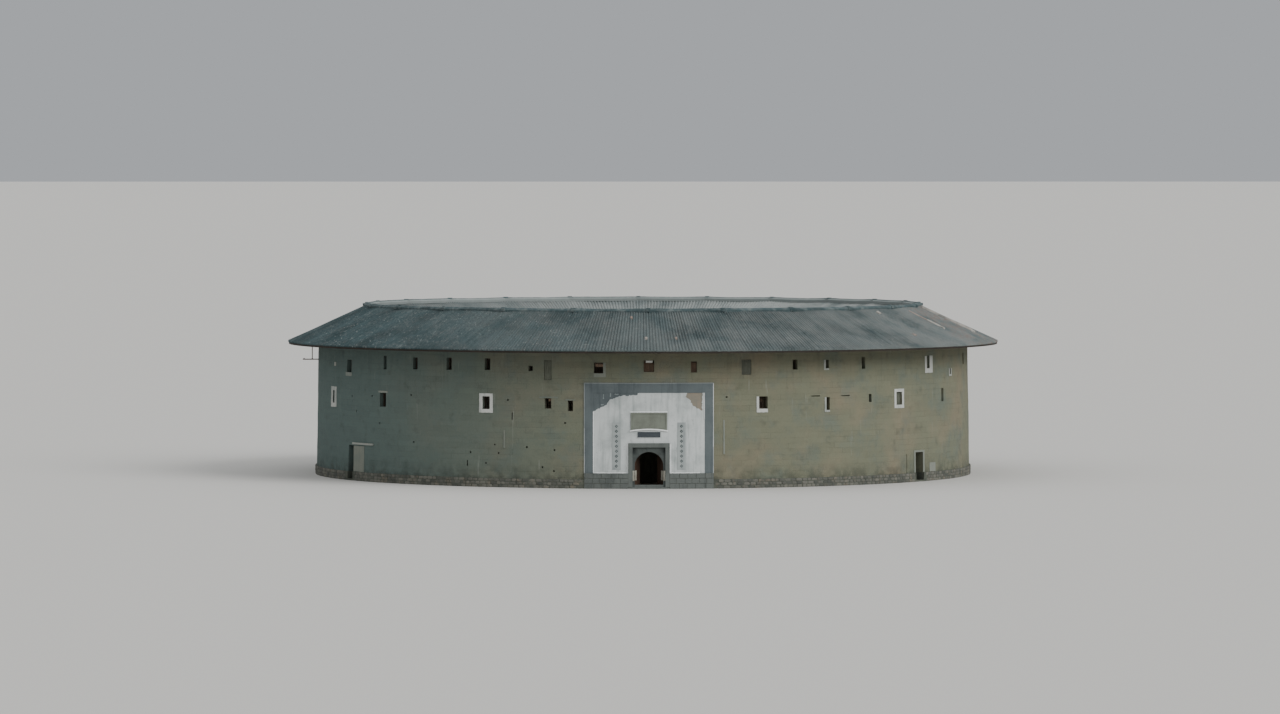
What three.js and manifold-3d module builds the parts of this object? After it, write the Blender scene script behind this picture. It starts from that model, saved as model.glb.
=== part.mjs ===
// A tulou: a round communal house of rammed earth with a ring-shaped tiled roof, as a half-size model.
// +Z is up, the origin is on the ground at the centre of the courtyard, and the gate faces -Y.
// Angles are measured round the building from the gate, growing towards +X.
import * as THREE from "three";
import { mergeVertices } from "three/addons/utils/BufferGeometryUtils.js";
import Module from "manifold-3d";

const wasm = await Module();
wasm.setup();

// One metre of the real building, in the model's millimetres.
const METRE = 500;
const DEGREE = Math.PI / 180;
// Neighbouring pieces keep this much air between them.
const GAP = 0.3;

// The earth wall leans in a little outside, and is thinner on each storey inside.
const WALL_FOOT_RADIUS = 26.1 * METRE;
const WALL_TOP_RADIUS = 25.93 * METRE;
const GROUND_WALL_INSIDE = 24.55 * METRE;
const LEDGE = 0.15 * METRE;
const STOREYS = 4;

// The stone footing stands a hand proud of the earth wall.
const FOOTING_RADIUS = 26.2 * METRE;
const FOOTING_INSIDE = 24.5 * METRE;
const FOOTING_HEIGHT = 0.7 * METRE;

// The roof: two slopes of one pitch that meet at the ridge.
const EAVE_RADIUS = 28.4 * METRE;
const EAVE_HEIGHT = 10.64 * METRE;
const RIDGE_RADIUS = 22.13 * METRE;
const COURT_EAVE_RADIUS = 16.6 * METRE;
const ROOF_SLOPE = Math.tan(24.4 * DEGREE);
const ROOF_DEPTH = 0.32 * METRE;
const RIDGE_CAP_HALF_WIDTH = 0.3 * METRE;
const RIDGE_CAP_RISE = 0.2 * METRE;
const RIDGE_CAP_SHOULDER = 0.11 * METRE;
// The ridge is laid in straight lengths.
const RIDGE_FLATS = 24;

// Floors: the top of each one, the ground floor first.
const FLOOR_TOPS = [0.12 * METRE, 3.1 * METRE, 5.25 * METRE, 8.05 * METRE];
const FLOOR_DEPTH = 0.16 * METRE;
const RAIL_HEIGHT = 0.95 * METRE;
const RAIL_DEPTH = 0.07 * METRE;

// Courtyard posts, in eight frames of five bays.
const POST_RADIUS = 18 * METRE;
const POST_SIDE = 0.28 * METRE;
const POST_STEP = 9;
const FRAMES = 8;
const FRAME_ANGLE = 360 / FRAMES;
const PLATE_DEPTH = 0.3 * METRE;
// Floors and railings come up to the backs of the posts, which stand square across their corners.
const POST_BACK = POST_RADIUS + POST_SIDE / 2 + (POST_SIDE / 2) * Math.tan((POST_STEP / 2) * DEGREE) + GAP;

// The plate runs straight from post to post, so it is cut low to clear the rounder roof between them.
const BAY_SAG = (POST_RADIUS + POST_SIDE / 2) * (1 - Math.cos((POST_STEP / 2) * DEGREE));
const PLATE_DROP = BAY_SAG * ROOF_SLOPE + GAP;

// The boarded screen that stands across the inner end of the gate hall.
const SCREEN_DEPTH = 0.1 * METRE;

// Rings of masonry and tile have flats centred on the gate. Timber rings run straight from post to post.
const MASONRY_FLATS = 80;
const TIMBER_FLATS = 360 / POST_STEP;
const MASONRY_PHASE = 180 / MASONRY_FLATS;
const TIMBER_PHASE = POST_STEP / 2;

// The gateway.
const BAY_HALF_WIDTH = 1.575 * METRE;
const SURROUND_TOP = 3.48 * METRE;
const SURROUND_FACE = 26.2 * METRE;
const SURROUND_DEPTH = 0.45 * METRE;
const LINTEL_DEPTH = 0.33 * METRE;
const POST_INNER = 1.25 * METRE;
const ARCH_RADIUS = 1.09 * METRE;
const ARCH_SPRING = 1.72 * METRE;
const ARCH_FACE = 26.08 * METRE;
const ARCH_DEPTH = 0.25 * METRE;
const PAVING_TOP = 0.12 * METRE;
const SILL_TOP = 0.3 * METRE;
const HEAD_BEAM_BOTTOM = 2.92 * METRE;
const HEAD_BEAM_TOP = 3.14 * METRE;
const HEAD_BEAM_DEPTH = 0.24 * METRE;

// The two leaves stand open, and turn on pins in the paving and the head beam.
const HINGE_X = 1.18 * METRE;
const HINGE_Y = -25.755 * METRE;
const LEAF_WIDTH = 1.17 * METRE;
const LEAF_THICKNESS = 0.09 * METRE;
const LEAF_BOTTOM = PAVING_TOP + 0.016 * METRE;
const LEAF_TOP = HEAD_BEAM_BOTTOM - 0.02 * METRE;
const STILE_RADIUS = 0.055 * METRE;
const PIN_RADIUS = 0.03 * METRE;
const SOCKET_RADIUS = 0.0316 * METRE;
const PIN_LENGTH = 0.06 * METRE;
const LEAF_OPEN_ANGLE = 66;

// The plastered field round the gate, seen from the front, with its two fallen corners.
const FIELD_HALF_WIDTH = 4.26 * METRE;
const FIELD_TOP = 7.3 * METRE;
const BORDER_HALF_WIDTH = 4.95 * METRE;
const BORDER_TOP = 8.07 * METRE;
const DADO_TOP = 1.19 * METRE;
const DADO_RADIUS = 26.32 * METRE;
const PLASTER_DEPTH = 0.04 * METRE;
const BORDER_DEPTH = 0.055 * METRE;
const FALLEN_LEFT = [[-4.26, 5.9], [-3.2, 6.4], [-3.03, 6.72], [-2.25, 7.08], [-0.94, 7.12], [-0.86, 7.3]];
const FALLEN_RIGHT = [[2.92, 7.3], [2.78, 7.01], [3.14, 6.75], [3.33, 6.35], [4.05, 5.92], [4.08, 7.3]];

const NAME_SLAB = { x: 0, z: 5.15 * METRE, width: 2.77 * METRE, height: 1.31 * METRE, depth: 0.12 * METRE };

// Windows: angle from the gate, width, sill height and head height, in degrees and real metres.
const UPPER_SILL = 8.86;
const UPPER_HEAD = 9.77;
const LOWER_SILL = 6.03;
const LOWER_HEAD = 6.93;
const FRONT_WINDOWS = [
  [-63.2, 0.8, 8.45, 9.4], [-51.4, 0.37, 8.8, 9.85], [-43.6, 0.5, 8.88, 9.8], [-36, 0.5, 8.91, 9.85],
  [-28.3, 0.48, 8.96, 9.85], [-20.3, 0.36, 8.93, 9.31], [-17.2, 0.6, 8.26, 9.75], [-8.5, 0.72, 8.79, 9.6],
  [0, 0.8, 8.9, 9.8], [7.6, 0.46, 8.85, 9.69], [16.7, 0.78, 8.65, 9.8], [25.65, 0.42, 9, 9.75],
  [32, 0.3, 9.05, 9.7], [39.9, 0.35, 8.94, 9.85], [57.9, 0.48, 8.78, 9.76], [67.3, 0.3, 8.2, 8.66],
  [-70.2, 0.44, 5.94, 6.93], [-51.9, 0.78, 5.89, 6.96], [-28.5, 0.65, 5.97, 6.94], [-17.2, 0.54, 6.07, 6.85],
  [-13.3, 0.41, 5.89, 6.69], [19.7, 0.72, 6.04, 6.98], [32.1, 0.32, 5.85, 6.83], [41.4, 0.3, 6.36, 6.98],
  [48.75, 0.72, 6.06, 7.06], [63.5, 0.45, 6.12, 7.16],
];
// The unseen side repeats the storeys plainly: a top window to each bay and a lower one to every second.
const BACK_FIRST_ANGLE = 76.5;
const BACK_LAST_ANGLE = 274.5;
const BACK_WIDTH = 0.55;
const RACK_ANGLE = BACK_LAST_ANGLE;
const RACK_SILL = 9.12;

// Side doorways, with no leaf: angle, width and head height.
const SIDE_DOORWAYS = [[54.5, 1.1, 2.3], [-62, 0.9, 2.75]];
const [RIGHT_DOORWAY, LEFT_DOORWAY] = SIDE_DOORWAYS;

// Earth wall segments beside the gate bay: name, and the two angles it runs between.
const WALL_SEGMENTS = [
  ["wall_front_right", 0, 22.5], ["wall_front_right_mid", 22.5, 45],
  ["wall_front_right_side", 45, RIGHT_DOORWAY[0]], ["wall_front_right_end", RIGHT_DOORWAY[0], 72],
  ["wall_right", 72, 108], ["wall_back_right_side", 108, 144], ["wall_back_right", 144, 180],
  ["wall_back_left", 180, 216], ["wall_back_left_side", 216, 252], ["wall_left", 252, 283.5],
  ["wall_front_left_side", 283.5, 310.5], ["wall_front_left_mid", 310.5, 333], ["wall_front_left", 333, 360],
];

// Lengths of the stone footing: they meet under the side doorways, under the gate and at the back.
const FOOTING_SEGMENTS = [
  ["footing_front_right", 0, RIGHT_DOORWAY[0]], ["footing_back_right", RIGHT_DOORWAY[0], 180],
  ["footing_back_left", 180, 360 + LEFT_DOORWAY[0]], ["footing_front_left", LEFT_DOORWAY[0], 0],
];

// The pole rack at the left edge of the photograph stands out of a top window.
const POLE_RADIUS = 0.035 * METRE;
const RACK_REACH = 27.25 * METRE;
const RACK_TAIL = 25.2 * METRE;
const RACK_SPREAD = 0.17 * METRE;
const RACK_UPRIGHT_RADIUS = 26.5 * METRE;
const RACK_RAIL_HALF_LENGTH = 0.4 * METRE;

const MATERIALS = {
  earth: new THREE.MeshStandardMaterial({ color: 0x9c8560, roughness: 0.95, metalness: 0 }),
  rubble: new THREE.MeshStandardMaterial({ color: 0x77766c, roughness: 0.9, metalness: 0 }),
  granite: new THREE.MeshStandardMaterial({ color: 0x7d8583, roughness: 0.8, metalness: 0 }),
  plaster: new THREE.MeshStandardMaterial({ color: 0xccd2d2, roughness: 0.85, metalness: 0 }),
  border: new THREE.MeshStandardMaterial({ color: 0x5c6d76, roughness: 0.85, metalness: 0 }),
  tile: new THREE.MeshStandardMaterial({ color: 0x3a4144, roughness: 0.85, metalness: 0 }),
  timber: new THREE.MeshStandardMaterial({ color: 0x5b4634, roughness: 0.8, metalness: 0 }),
  gate: new THREE.MeshStandardMaterial({ color: 0x4c3428, roughness: 0.7, metalness: 0 }),
};

// A closed three.js geometry as a manifold solid.
function solid(geometry) {
  const bare = geometry.clone();
  bare.deleteAttribute("normal");
  bare.deleteAttribute("uv");
  const merged = mergeVertices(bare.index ? bare.toNonIndexed() : bare, 1e-3);
  return new wasm.Manifold(
    new wasm.Mesh({
      numProp: 3,
      vertProperties: merged.attributes.position.array,
      triVerts: new Uint32Array(merged.index.array),
    }),
  );
}

// A manifold solid as a named mesh.
function mesh(name, body, material) {
  const made = body.getMesh();
  const geometry = new THREE.BufferGeometry();
  geometry.setAttribute("position", new THREE.BufferAttribute(new Float32Array(made.vertProperties), 3));
  geometry.setIndex(new THREE.BufferAttribute(new Uint32Array(made.triVerts), 1));
  geometry.computeVertexNormals();
  const piece = new THREE.Mesh(geometry, MATERIALS[material]);
  piece.name = name;
  return piece;
}

// A ring about +Z from a closed outline of [radius, height] points, given anticlockwise.
// Its flats, and not its corners, lie at the radii of the outline.
function ring(outline, flats, phase, cornersAtRadius = false) {
  const reach = cornersAtRadius ? 1 : 1 / Math.cos(Math.PI / flats);
  const closed = [...outline, outline[0]];
  const points = closed.map(([radius, height]) => new THREE.Vector2(radius * reach, height));
  const geometry = new THREE.LatheGeometry(points, flats, phase * DEGREE, 2 * Math.PI);
  return solid(geometry.rotateX(Math.PI / 2));
}

const masonryRing = (outline) => ring(outline, MASONRY_FLATS, MASONRY_PHASE);
const timberRing = (outline) => ring(outline, TIMBER_FLATS, TIMBER_PHASE, true);

// A box between two corners.
function box(low, high) {
  const size = high.map((value, axis) => value - low[axis]);
  const geometry = new THREE.BoxGeometry(...size);
  return solid(geometry.translate(...low.map((value, axis) => value + size[axis] / 2)));
}

// A box across a radius of the building, between two radii and two heights, turned to an angle.
function radialBox(angle, width, inside, outside, bottom, top) {
  return box([-width / 2, -outside, bottom], [width / 2, -inside, top]).rotate([0, 0, angle]);
}

// A round bar between two points.
function bar(from, to, radius, sides = 10) {
  const start = new THREE.Vector3(...from);
  const run = new THREE.Vector3(...to).sub(start);
  const geometry = new THREE.CylinderGeometry(radius, radius, run.length(), sides);
  geometry.translate(0, run.length() / 2, 0);
  const up = new THREE.Vector3(0, 1, 0);
  geometry.applyQuaternion(new THREE.Quaternion().setFromUnitVectors(up, run.normalize()));
  return solid(geometry.translate(start.x, start.y, start.z));
}

// An upright bar at a place in plan.
const uprightBar = (x, y, bottom, top, radius, sides) => bar([x, y, bottom], [x, y, top], radius, sides);

// A wedge of the whole building between two angles, under half a turn apart, short of each by half a gap.
function wedge(from, to) {
  const reach = 2 * EAVE_RADIUS;
  const trim = GAP / 2 / RIDGE_RADIUS / DEGREE;
  const shape = new THREE.Shape([new THREE.Vector2(0, 0)]);
  shape.lineTo(reach * Math.sin((from + trim) * DEGREE), -reach * Math.cos((from + trim) * DEGREE));
  shape.lineTo(reach * Math.sin((to - trim) * DEGREE), -reach * Math.cos((to - trim) * DEGREE));
  const height = 2 * EAVE_HEIGHT;
  const geometry = new THREE.ExtrudeGeometry(shape, { depth: 2 * height, bevelEnabled: false });
  return solid(geometry.translate(0, 0, -height));
}

// A front elevation, of [x, z] points, run through the front of the building along Y.
function elevation(points) {
  const shape = new THREE.Shape(points.map(([x, z]) => new THREE.Vector2(x, z)));
  const geometry = new THREE.ExtrudeGeometry(shape, { depth: 4 * METRE, bevelEnabled: false });
  return solid(geometry.rotateX(Math.PI / 2).translate(0, -WALL_FOOT_RADIUS + 2 * METRE, 0));
}

const rectangle = (left, right, bottom, top) => [[left, bottom], [right, bottom], [right, top], [left, top]];

// Height of the roof's upper face at a radius, on either slope.
function roofTop(radius) {
  const ridgeHeight = EAVE_HEIGHT + (EAVE_RADIUS - RIDGE_RADIUS) * ROOF_SLOPE;
  return ridgeHeight - Math.abs(radius - RIDGE_RADIUS) * ROOF_SLOPE;
}

const roofUnderside = (radius) => roofTop(radius) - ROOF_DEPTH;

// Radius of the earth wall's outer face at a height.
function wallFace(height) {
  const wallTop = roofUnderside(WALL_TOP_RADIUS);
  const share = (height - FOOTING_HEIGHT) / (wallTop - FOOTING_HEIGHT);
  return WALL_FOOT_RADIUS + (WALL_TOP_RADIUS - WALL_FOOT_RADIUS) * share;
}

// Radius of the earth wall's inner face on a storey, counted from 0.
const wallInside = (storey) => GROUND_WALL_INSIDE + storey * LEDGE;

function wallRing() {
  const inside = [];
  for (let storey = STOREYS - 1; storey >= 0; storey--) {
    const top = storey === STOREYS - 1 ? roofUnderside(wallInside(storey)) - GAP : ledgeHeight(storey + 1);
    const bottom = storey === 0 ? FOOTING_HEIGHT + GAP : ledgeHeight(storey);
    inside.push([wallInside(storey), top], [wallInside(storey), bottom]);
  }
  const outside = [
    [wallFace(FOOTING_HEIGHT), FOOTING_HEIGHT + GAP],
    [WALL_TOP_RADIUS, roofUnderside(WALL_TOP_RADIUS) - GAP],
  ];
  return masonryRing([...outside, ...inside]);
}

// The ledge that carries a floor's outer edge.
const ledgeHeight = (storey) => FLOOR_TOPS[storey] - FLOOR_DEPTH - GAP;

function backWindows() {
  const windows = [];
  let lower = false;
  for (let angle = BACK_FIRST_ANGLE; angle <= BACK_LAST_ANGLE; angle += POST_STEP) {
    windows.push([angle, BACK_WIDTH, angle === RACK_ANGLE ? RACK_SILL : UPPER_SILL, UPPER_HEAD]);
    if (lower) windows.push([angle, BACK_WIDTH, LOWER_SILL, LOWER_HEAD]);
    lower = !lower;
  }
  return windows;
}

// Everything that is cut through the earth wall and its footing.
function wallOpenings() {
  const inside = FOOTING_INSIDE - METRE;
  const outside = FOOTING_RADIUS + METRE;
  const cuts = [...FRONT_WINDOWS, ...backWindows()].map(([angle, width, sill, head]) =>
    radialBox(angle, width * METRE, inside, outside, sill * METRE, head * METRE));
  for (const [angle, width, head] of SIDE_DOORWAYS)
    cuts.push(radialBox(angle, width * METRE, inside, outside, FLOOR_TOPS[0], head * METRE));
  return cuts.reduce((all, cut) => all.add(cut));
}

// The gate bay as a hole through the whole height of the wall.
const gateBay = (halfWidth) => elevation(rectangle(-halfWidth, halfWidth, -METRE, 2 * EAVE_HEIGHT));

function earthWall(openings) {
  const whole = wallRing().subtract(openings);
  const [angle, width, head] = RIGHT_DOORWAY;
  const overDoorway = (wider, bottom) => radialBox(
    angle, width * METRE + wider, FOOTING_INSIDE - METRE, FOOTING_RADIUS + METRE, bottom, 2 * EAVE_HEIGHT);
  const beside = whole.subtract(gateBay(BAY_HALF_WIDTH + GAP)).subtract(overDoorway(2 * GAP, 0));
  const pieces = WALL_SEGMENTS.map(([name, from, to]) =>
    mesh(name, beside.intersect(wedge(from, to)), "earth"));
  const above = elevation(rectangle(-BAY_HALF_WIDTH, BAY_HALF_WIDTH, SURROUND_TOP + GAP, 2 * EAVE_HEIGHT));
  pieces.push(mesh("wall_over_gate", whole.intersect(above), "earth"));
  pieces.push(mesh("wall_over_right_doorway", whole.intersect(overDoorway(0, head * METRE)), "earth"));
  return pieces;
}

function stoneFooting(openings) {
  const outline = rectangle(FOOTING_INSIDE, FOOTING_RADIUS, 0, FOOTING_HEIGHT);
  const stones = masonryRing(outline).subtract(gateBay(BAY_HALF_WIDTH + GAP)).subtract(openings);
  return FOOTING_SEGMENTS.map(([name, from, to]) =>
    mesh(name, stones.intersect(wedge(from, to)), "rubble"));
}

function roof() {
  const split = GAP / 2;
  const slope = (from, to) => masonryRing([
    [from, roofUnderside(from)], [to, roofUnderside(to)], [to, roofTop(to)], [from, roofTop(from)],
  ]);
  const foot = roofTop(RIDGE_RADIUS) + GAP;
  const inside = RIDGE_RADIUS - RIDGE_CAP_HALF_WIDTH;
  const outside = RIDGE_RADIUS + RIDGE_CAP_HALF_WIDTH;
  const cap = ring([
    [inside, foot], [outside, foot], [outside, foot + RIDGE_CAP_SHOULDER],
    [RIDGE_RADIUS, foot + RIDGE_CAP_RISE], [inside, foot + RIDGE_CAP_SHOULDER],
  ], RIDGE_FLATS, 0, true);
  return [
    mesh("roof_outer_slope", slope(RIDGE_RADIUS + split, EAVE_RADIUS), "tile"),
    mesh("roof_courtyard_slope", slope(COURT_EAVE_RADIUS, RIDGE_RADIUS - split), "tile"),
    mesh("roof_ridge", cap, "tile"),
  ];
}

// Floors run from the posts to the wall, and each upper one lies on a ledge of the wall.
function floors() {
  return FLOOR_TOPS.map((top, storey) => {
    const bottom = storey === 0 ? 0 : top - FLOOR_DEPTH;
    const outside = storey === 0 ? FOOTING_INSIDE : wallInside(storey);
    const floor = timberRing(rectangle(POST_BACK, outside - GAP, bottom, top));
    return storey === 0
      ? mesh("ground_floor", floor, "rubble")
      : mesh(`floor_${storey + 1}`, floor, "timber");
  });
}

// Boarded railings stand on the upper floors, behind the posts.
function railings() {
  return FLOOR_TOPS.slice(1).map((top, index) => {
    const outline = rectangle(POST_BACK, POST_BACK + RAIL_DEPTH, top + GAP, top + RAIL_HEIGHT);
    return mesh(`gallery_railing_${index + 2}`, timberRing(outline), "timber");
  });
}

// A screen from floor to ceiling, behind the two posts of the bay that faces the gate.
function gateScreen() {
  const front = POST_BACK * Math.cos((POST_STEP / 2) * DEGREE);
  const end = POST_RADIUS * Math.sin((POST_STEP / 2) * DEGREE);
  const foot = FLOOR_TOPS[0] + GAP;
  const head = FLOOR_TOPS[1] - FLOOR_DEPTH - GAP;
  return mesh("gate_screen", box([-end, -front - SCREEN_DEPTH, foot], [end, -front, head]), "timber");
}

// Five posts and the stretch of plate that joins them under the courtyard slope.
function galleryFrames() {
  const inside = POST_RADIUS - POST_SIDE / 2;
  const outside = POST_RADIUS + POST_SIDE / 2;
  const plateTop = (radius) => roofUnderside(radius) - PLATE_DROP;
  const plateBottom = plateTop(inside) - PLATE_DEPTH;
  const plate = timberRing([
    [inside, plateBottom], [outside, plateBottom], [outside, plateTop(outside)], [inside, plateTop(inside)],
  ]);
  const frames = [];
  for (let index = 0; index < FRAMES; index++) {
    const from = index * FRAME_ANGLE;
    let frame = plate.intersect(wedge(from, from + FRAME_ANGLE));
    for (let angle = from + POST_STEP / 2; angle < from + FRAME_ANGLE; angle += POST_STEP)
      frame = frame.add(radialBox(angle, POST_SIDE, inside, outside, 0, plateBottom + PLATE_DEPTH / 2));
    frames.push(mesh(`gallery_frame_${index + 1}`, frame, "timber"));
  }
  return frames;
}

// The stone surround, the arched stones inside it, and the paving with its sill.
function gateStones() {
  const back = SURROUND_FACE - SURROUND_DEPTH;
  const postFoot = PAVING_TOP + GAP;
  const lintelBottom = SURROUND_TOP - LINTEL_DEPTH;
  const post = (side) => {
    const edges = [side * POST_INNER, side * BAY_HALF_WIDTH].sort((a, b) => a - b);
    return box([edges[0], -SURROUND_FACE, postFoot], [edges[1], -back, lintelBottom - GAP]);
  };
  const lintel = box([-BAY_HALF_WIDTH, -SURROUND_FACE, lintelBottom], [BAY_HALF_WIDTH, -back, SURROUND_TOP]);
  const shape = new THREE.Shape(rectangle(-POST_INNER + GAP, POST_INNER - GAP, postFoot, lintelBottom - GAP)
    .map(([x, z]) => new THREE.Vector2(x, z)));
  const plate = solid(new THREE.ExtrudeGeometry(shape, { depth: ARCH_DEPTH, bevelEnabled: false })
    .rotateX(Math.PI / 2).translate(0, -ARCH_FACE + ARCH_DEPTH, 0));
  const doorway = new THREE.Shape();
  doorway.moveTo(-ARCH_RADIUS, 0);
  doorway.lineTo(ARCH_RADIUS, 0);
  doorway.absarc(0, ARCH_SPRING, ARCH_RADIUS, 0, Math.PI, false);
  const run = { depth: 2 * METRE, bevelEnabled: false, curveSegments: 12 };
  const hole = solid(new THREE.ExtrudeGeometry(doorway, run)
    .rotateX(Math.PI / 2).translate(0, -ARCH_FACE + METRE, 0));
  return [
    mesh("gate_post_left", post(-1), "granite"),
    mesh("gate_post_right", post(1), "granite"),
    mesh("gate_lintel", lintel, "granite"),
    mesh("gate_arch", plate.subtract(hole), "granite"),
    mesh("gate_paving", gatePaving(), "granite"),
    mesh("gate_head_beam", headBeam(), "timber"),
  ];
}

function gatePaving() {
  const strip = elevation(rectangle(-BAY_HALF_WIDTH, BAY_HALF_WIDTH, -METRE, METRE));
  const slab = masonryRing(rectangle(FOOTING_INSIDE + GAP, SURROUND_FACE, 0, PAVING_TOP)).intersect(strip);
  const sillEdge = ARCH_RADIUS - GAP;
  const sill = box([-sillEdge, -ARCH_FACE, PAVING_TOP / 2], [sillEdge, -ARCH_FACE + ARCH_DEPTH, SILL_TOP]);
  const bottom = PAVING_TOP - PIN_LENGTH - GAP;
  let paving = slab.add(sill);
  for (const side of [-1, 1])
    paving = paving.subtract(
      uprightBar(side * HINGE_X, HINGE_Y, bottom, PAVING_TOP + METRE, SOCKET_RADIUS, 24));
  return paving;
}

// The timber behind the arch that holds the leaves' upper pins.
function headBeam() {
  const front = -ARCH_FACE + ARCH_DEPTH + GAP;
  const end = POST_INNER - GAP;
  const top = HEAD_BEAM_BOTTOM + PIN_LENGTH + GAP;
  let beam = box([-end, front, HEAD_BEAM_BOTTOM], [end, front + HEAD_BEAM_DEPTH, HEAD_BEAM_TOP]);
  for (const side of [-1, 1])
    beam = beam.subtract(uprightBar(side * HINGE_X, HINGE_Y, LEAF_TOP, top, SOCKET_RADIUS, 24));
  return beam;
}

// One leaf, drawn closed with its stile on the axis, then turned open.
function gateLeaf(name, side) {
  const far = -side * LEAF_WIDTH;
  const edges = [0, far].sort((a, b) => a - b);
  const half = LEAF_THICKNESS / 2;
  const leaf = box([edges[0], -half, LEAF_BOTTOM], [edges[1], half, LEAF_TOP])
    .add(uprightBar(0, 0, LEAF_BOTTOM, LEAF_TOP, STILE_RADIUS, 16))
    .add(uprightBar(0, 0, PAVING_TOP - PIN_LENGTH, LEAF_TOP, PIN_RADIUS, 16))
    .add(uprightBar(0, 0, LEAF_BOTTOM, HEAD_BEAM_BOTTOM + PIN_LENGTH, PIN_RADIUS, 16));
  const open = leaf.rotate([0, 0, -side * LEAF_OPEN_ANGLE]);
  return mesh(name, open.translate([side * HINGE_X, HINGE_Y, 0]), "gate");
}

// A skin on the outer face of the wall, between two depths, from the dado up.
function wallSkin(from, to) {
  const bottom = DADO_TOP + GAP;
  const top = BORDER_TOP + METRE;
  return masonryRing([
    [wallFace(bottom) + from, bottom], [wallFace(bottom) + to, bottom],
    [wallFace(top) + to, top], [wallFace(top) + from, top],
  ]);
}

function gateField() {
  const bottom = DADO_TOP + GAP;
  const metres = (points) => points.map(([x, z]) => [x * METRE, z * METRE]);
  const fallen = elevation([...metres(FALLEN_LEFT), [-FIELD_HALF_WIDTH, FIELD_TOP]].reverse())
    .add(elevation(metres(FALLEN_RIGHT)));
  const surround = elevation(rectangle(-BAY_HALF_WIDTH - GAP, BAY_HALF_WIDTH + GAP, 0, SURROUND_TOP + GAP));
  const slab = NAME_SLAB;
  const slabEdge = (grow) => rectangle(slab.x - slab.width / 2 - grow, slab.x + slab.width / 2 + grow,
    slab.z - slab.height / 2 - grow, slab.z + slab.height / 2 + grow);
  const field = (grow) => rectangle(-FIELD_HALF_WIDTH - grow, FIELD_HALF_WIDTH + grow, 0, FIELD_TOP + grow);
  const plaster = wallSkin(GAP, PLASTER_DEPTH)
    .intersect(elevation(field(0))).subtract(surround).subtract(fallen).subtract(elevation(slabEdge(GAP)));
  const border = wallSkin(GAP, BORDER_DEPTH)
    .intersect(elevation(rectangle(-BORDER_HALF_WIDTH, BORDER_HALF_WIDTH, bottom, BORDER_TOP)))
    .subtract(elevation(field(GAP)));
  const nameSlab = wallSkin(GAP, slab.depth).intersect(elevation(slabEdge(0)));
  return [
    mesh("gate_plaster", plaster, "plaster"),
    mesh("gate_border", border, "border"),
    mesh("name_slab", nameSlab, "granite"),
  ];
}

// The dressed stone dado on each side of the gate, in front of the footing and over its edge.
function gateDado() {
  const outline = [
    [FOOTING_RADIUS + GAP, 0], [DADO_RADIUS, 0], [DADO_RADIUS, DADO_TOP],
    [wallFace(DADO_TOP) + GAP, DADO_TOP], [wallFace(FOOTING_HEIGHT) + GAP, FOOTING_HEIGHT + GAP],
    [FOOTING_RADIUS + GAP, FOOTING_HEIGHT + GAP],
  ];
  const stones = masonryRing(outline);
  const side = (edges) => stones.intersect(elevation(rectangle(...edges, -METRE, 2 * METRE)));
  return [
    mesh("dado_left", side([-BORDER_HALF_WIDTH, -BAY_HALF_WIDTH - GAP]), "granite"),
    mesh("dado_right", side([BAY_HALF_WIDTH + GAP, BORDER_HALF_WIDTH]), "granite"),
  ];
}

// Two poles on the window sill, two rails across them, and an upright to the eave.
function poleRack() {
  const poleHeight = RACK_SILL * METRE + POLE_RADIUS + GAP;
  const railHeight = poleHeight + 1.5 * POLE_RADIUS;
  let rack = null;
  for (const side of [-1, 1]) {
    const x = side * RACK_SPREAD;
    const pole = bar([x, -RACK_TAIL, poleHeight], [x, -RACK_REACH, poleHeight], POLE_RADIUS);
    rack = rack ? rack.add(pole) : pole;
  }
  const end = RACK_RAIL_HALF_LENGTH;
  for (const radius of [RACK_UPRIGHT_RADIUS, RACK_REACH - 3 * POLE_RADIUS])
    rack = rack.add(bar([-end, -radius, railHeight], [end, -radius, railHeight], POLE_RADIUS));
  const eave = roofUnderside(RACK_UPRIGHT_RADIUS + POLE_RADIUS) - GAP;
  rack = rack.add(uprightBar(RACK_SPREAD, -RACK_UPRIGHT_RADIUS, poleHeight, eave, POLE_RADIUS, 10));
  return mesh("pole_rack", rack.rotate([0, 0, RACK_ANGLE]), "timber");
}

const openings = wallOpenings();
const tulou = new THREE.Group();
tulou.add(
  ...earthWall(openings),
  ...stoneFooting(openings),
  ...roof(),
  ...floors(),
  ...railings(),
  gateScreen(),
  ...galleryFrames(),
  ...gateStones(),
  gateLeaf("gate_leaf_left", -1),
  gateLeaf("gate_leaf_right", 1),
  ...gateField(),
  ...gateDado(),
  poleRack(),
);

export default tulou;
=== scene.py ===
"""A tulou, a round communal house of rammed earth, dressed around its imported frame.

The model is half the size of the real building. Sizes in this file are the real building's, in metres,
and angles are in degrees from the gate, growing towards +X. The ground is at height 0 and the gate faces -Y.
"""

import math
from itertools import product

import bmesh
import bpy
import numpy as np
from bpy.props import FloatProperty, FloatVectorProperty, IntProperty, PointerProperty
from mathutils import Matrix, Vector
from mathutils.geometry import delaunay_2d_cdt

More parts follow.
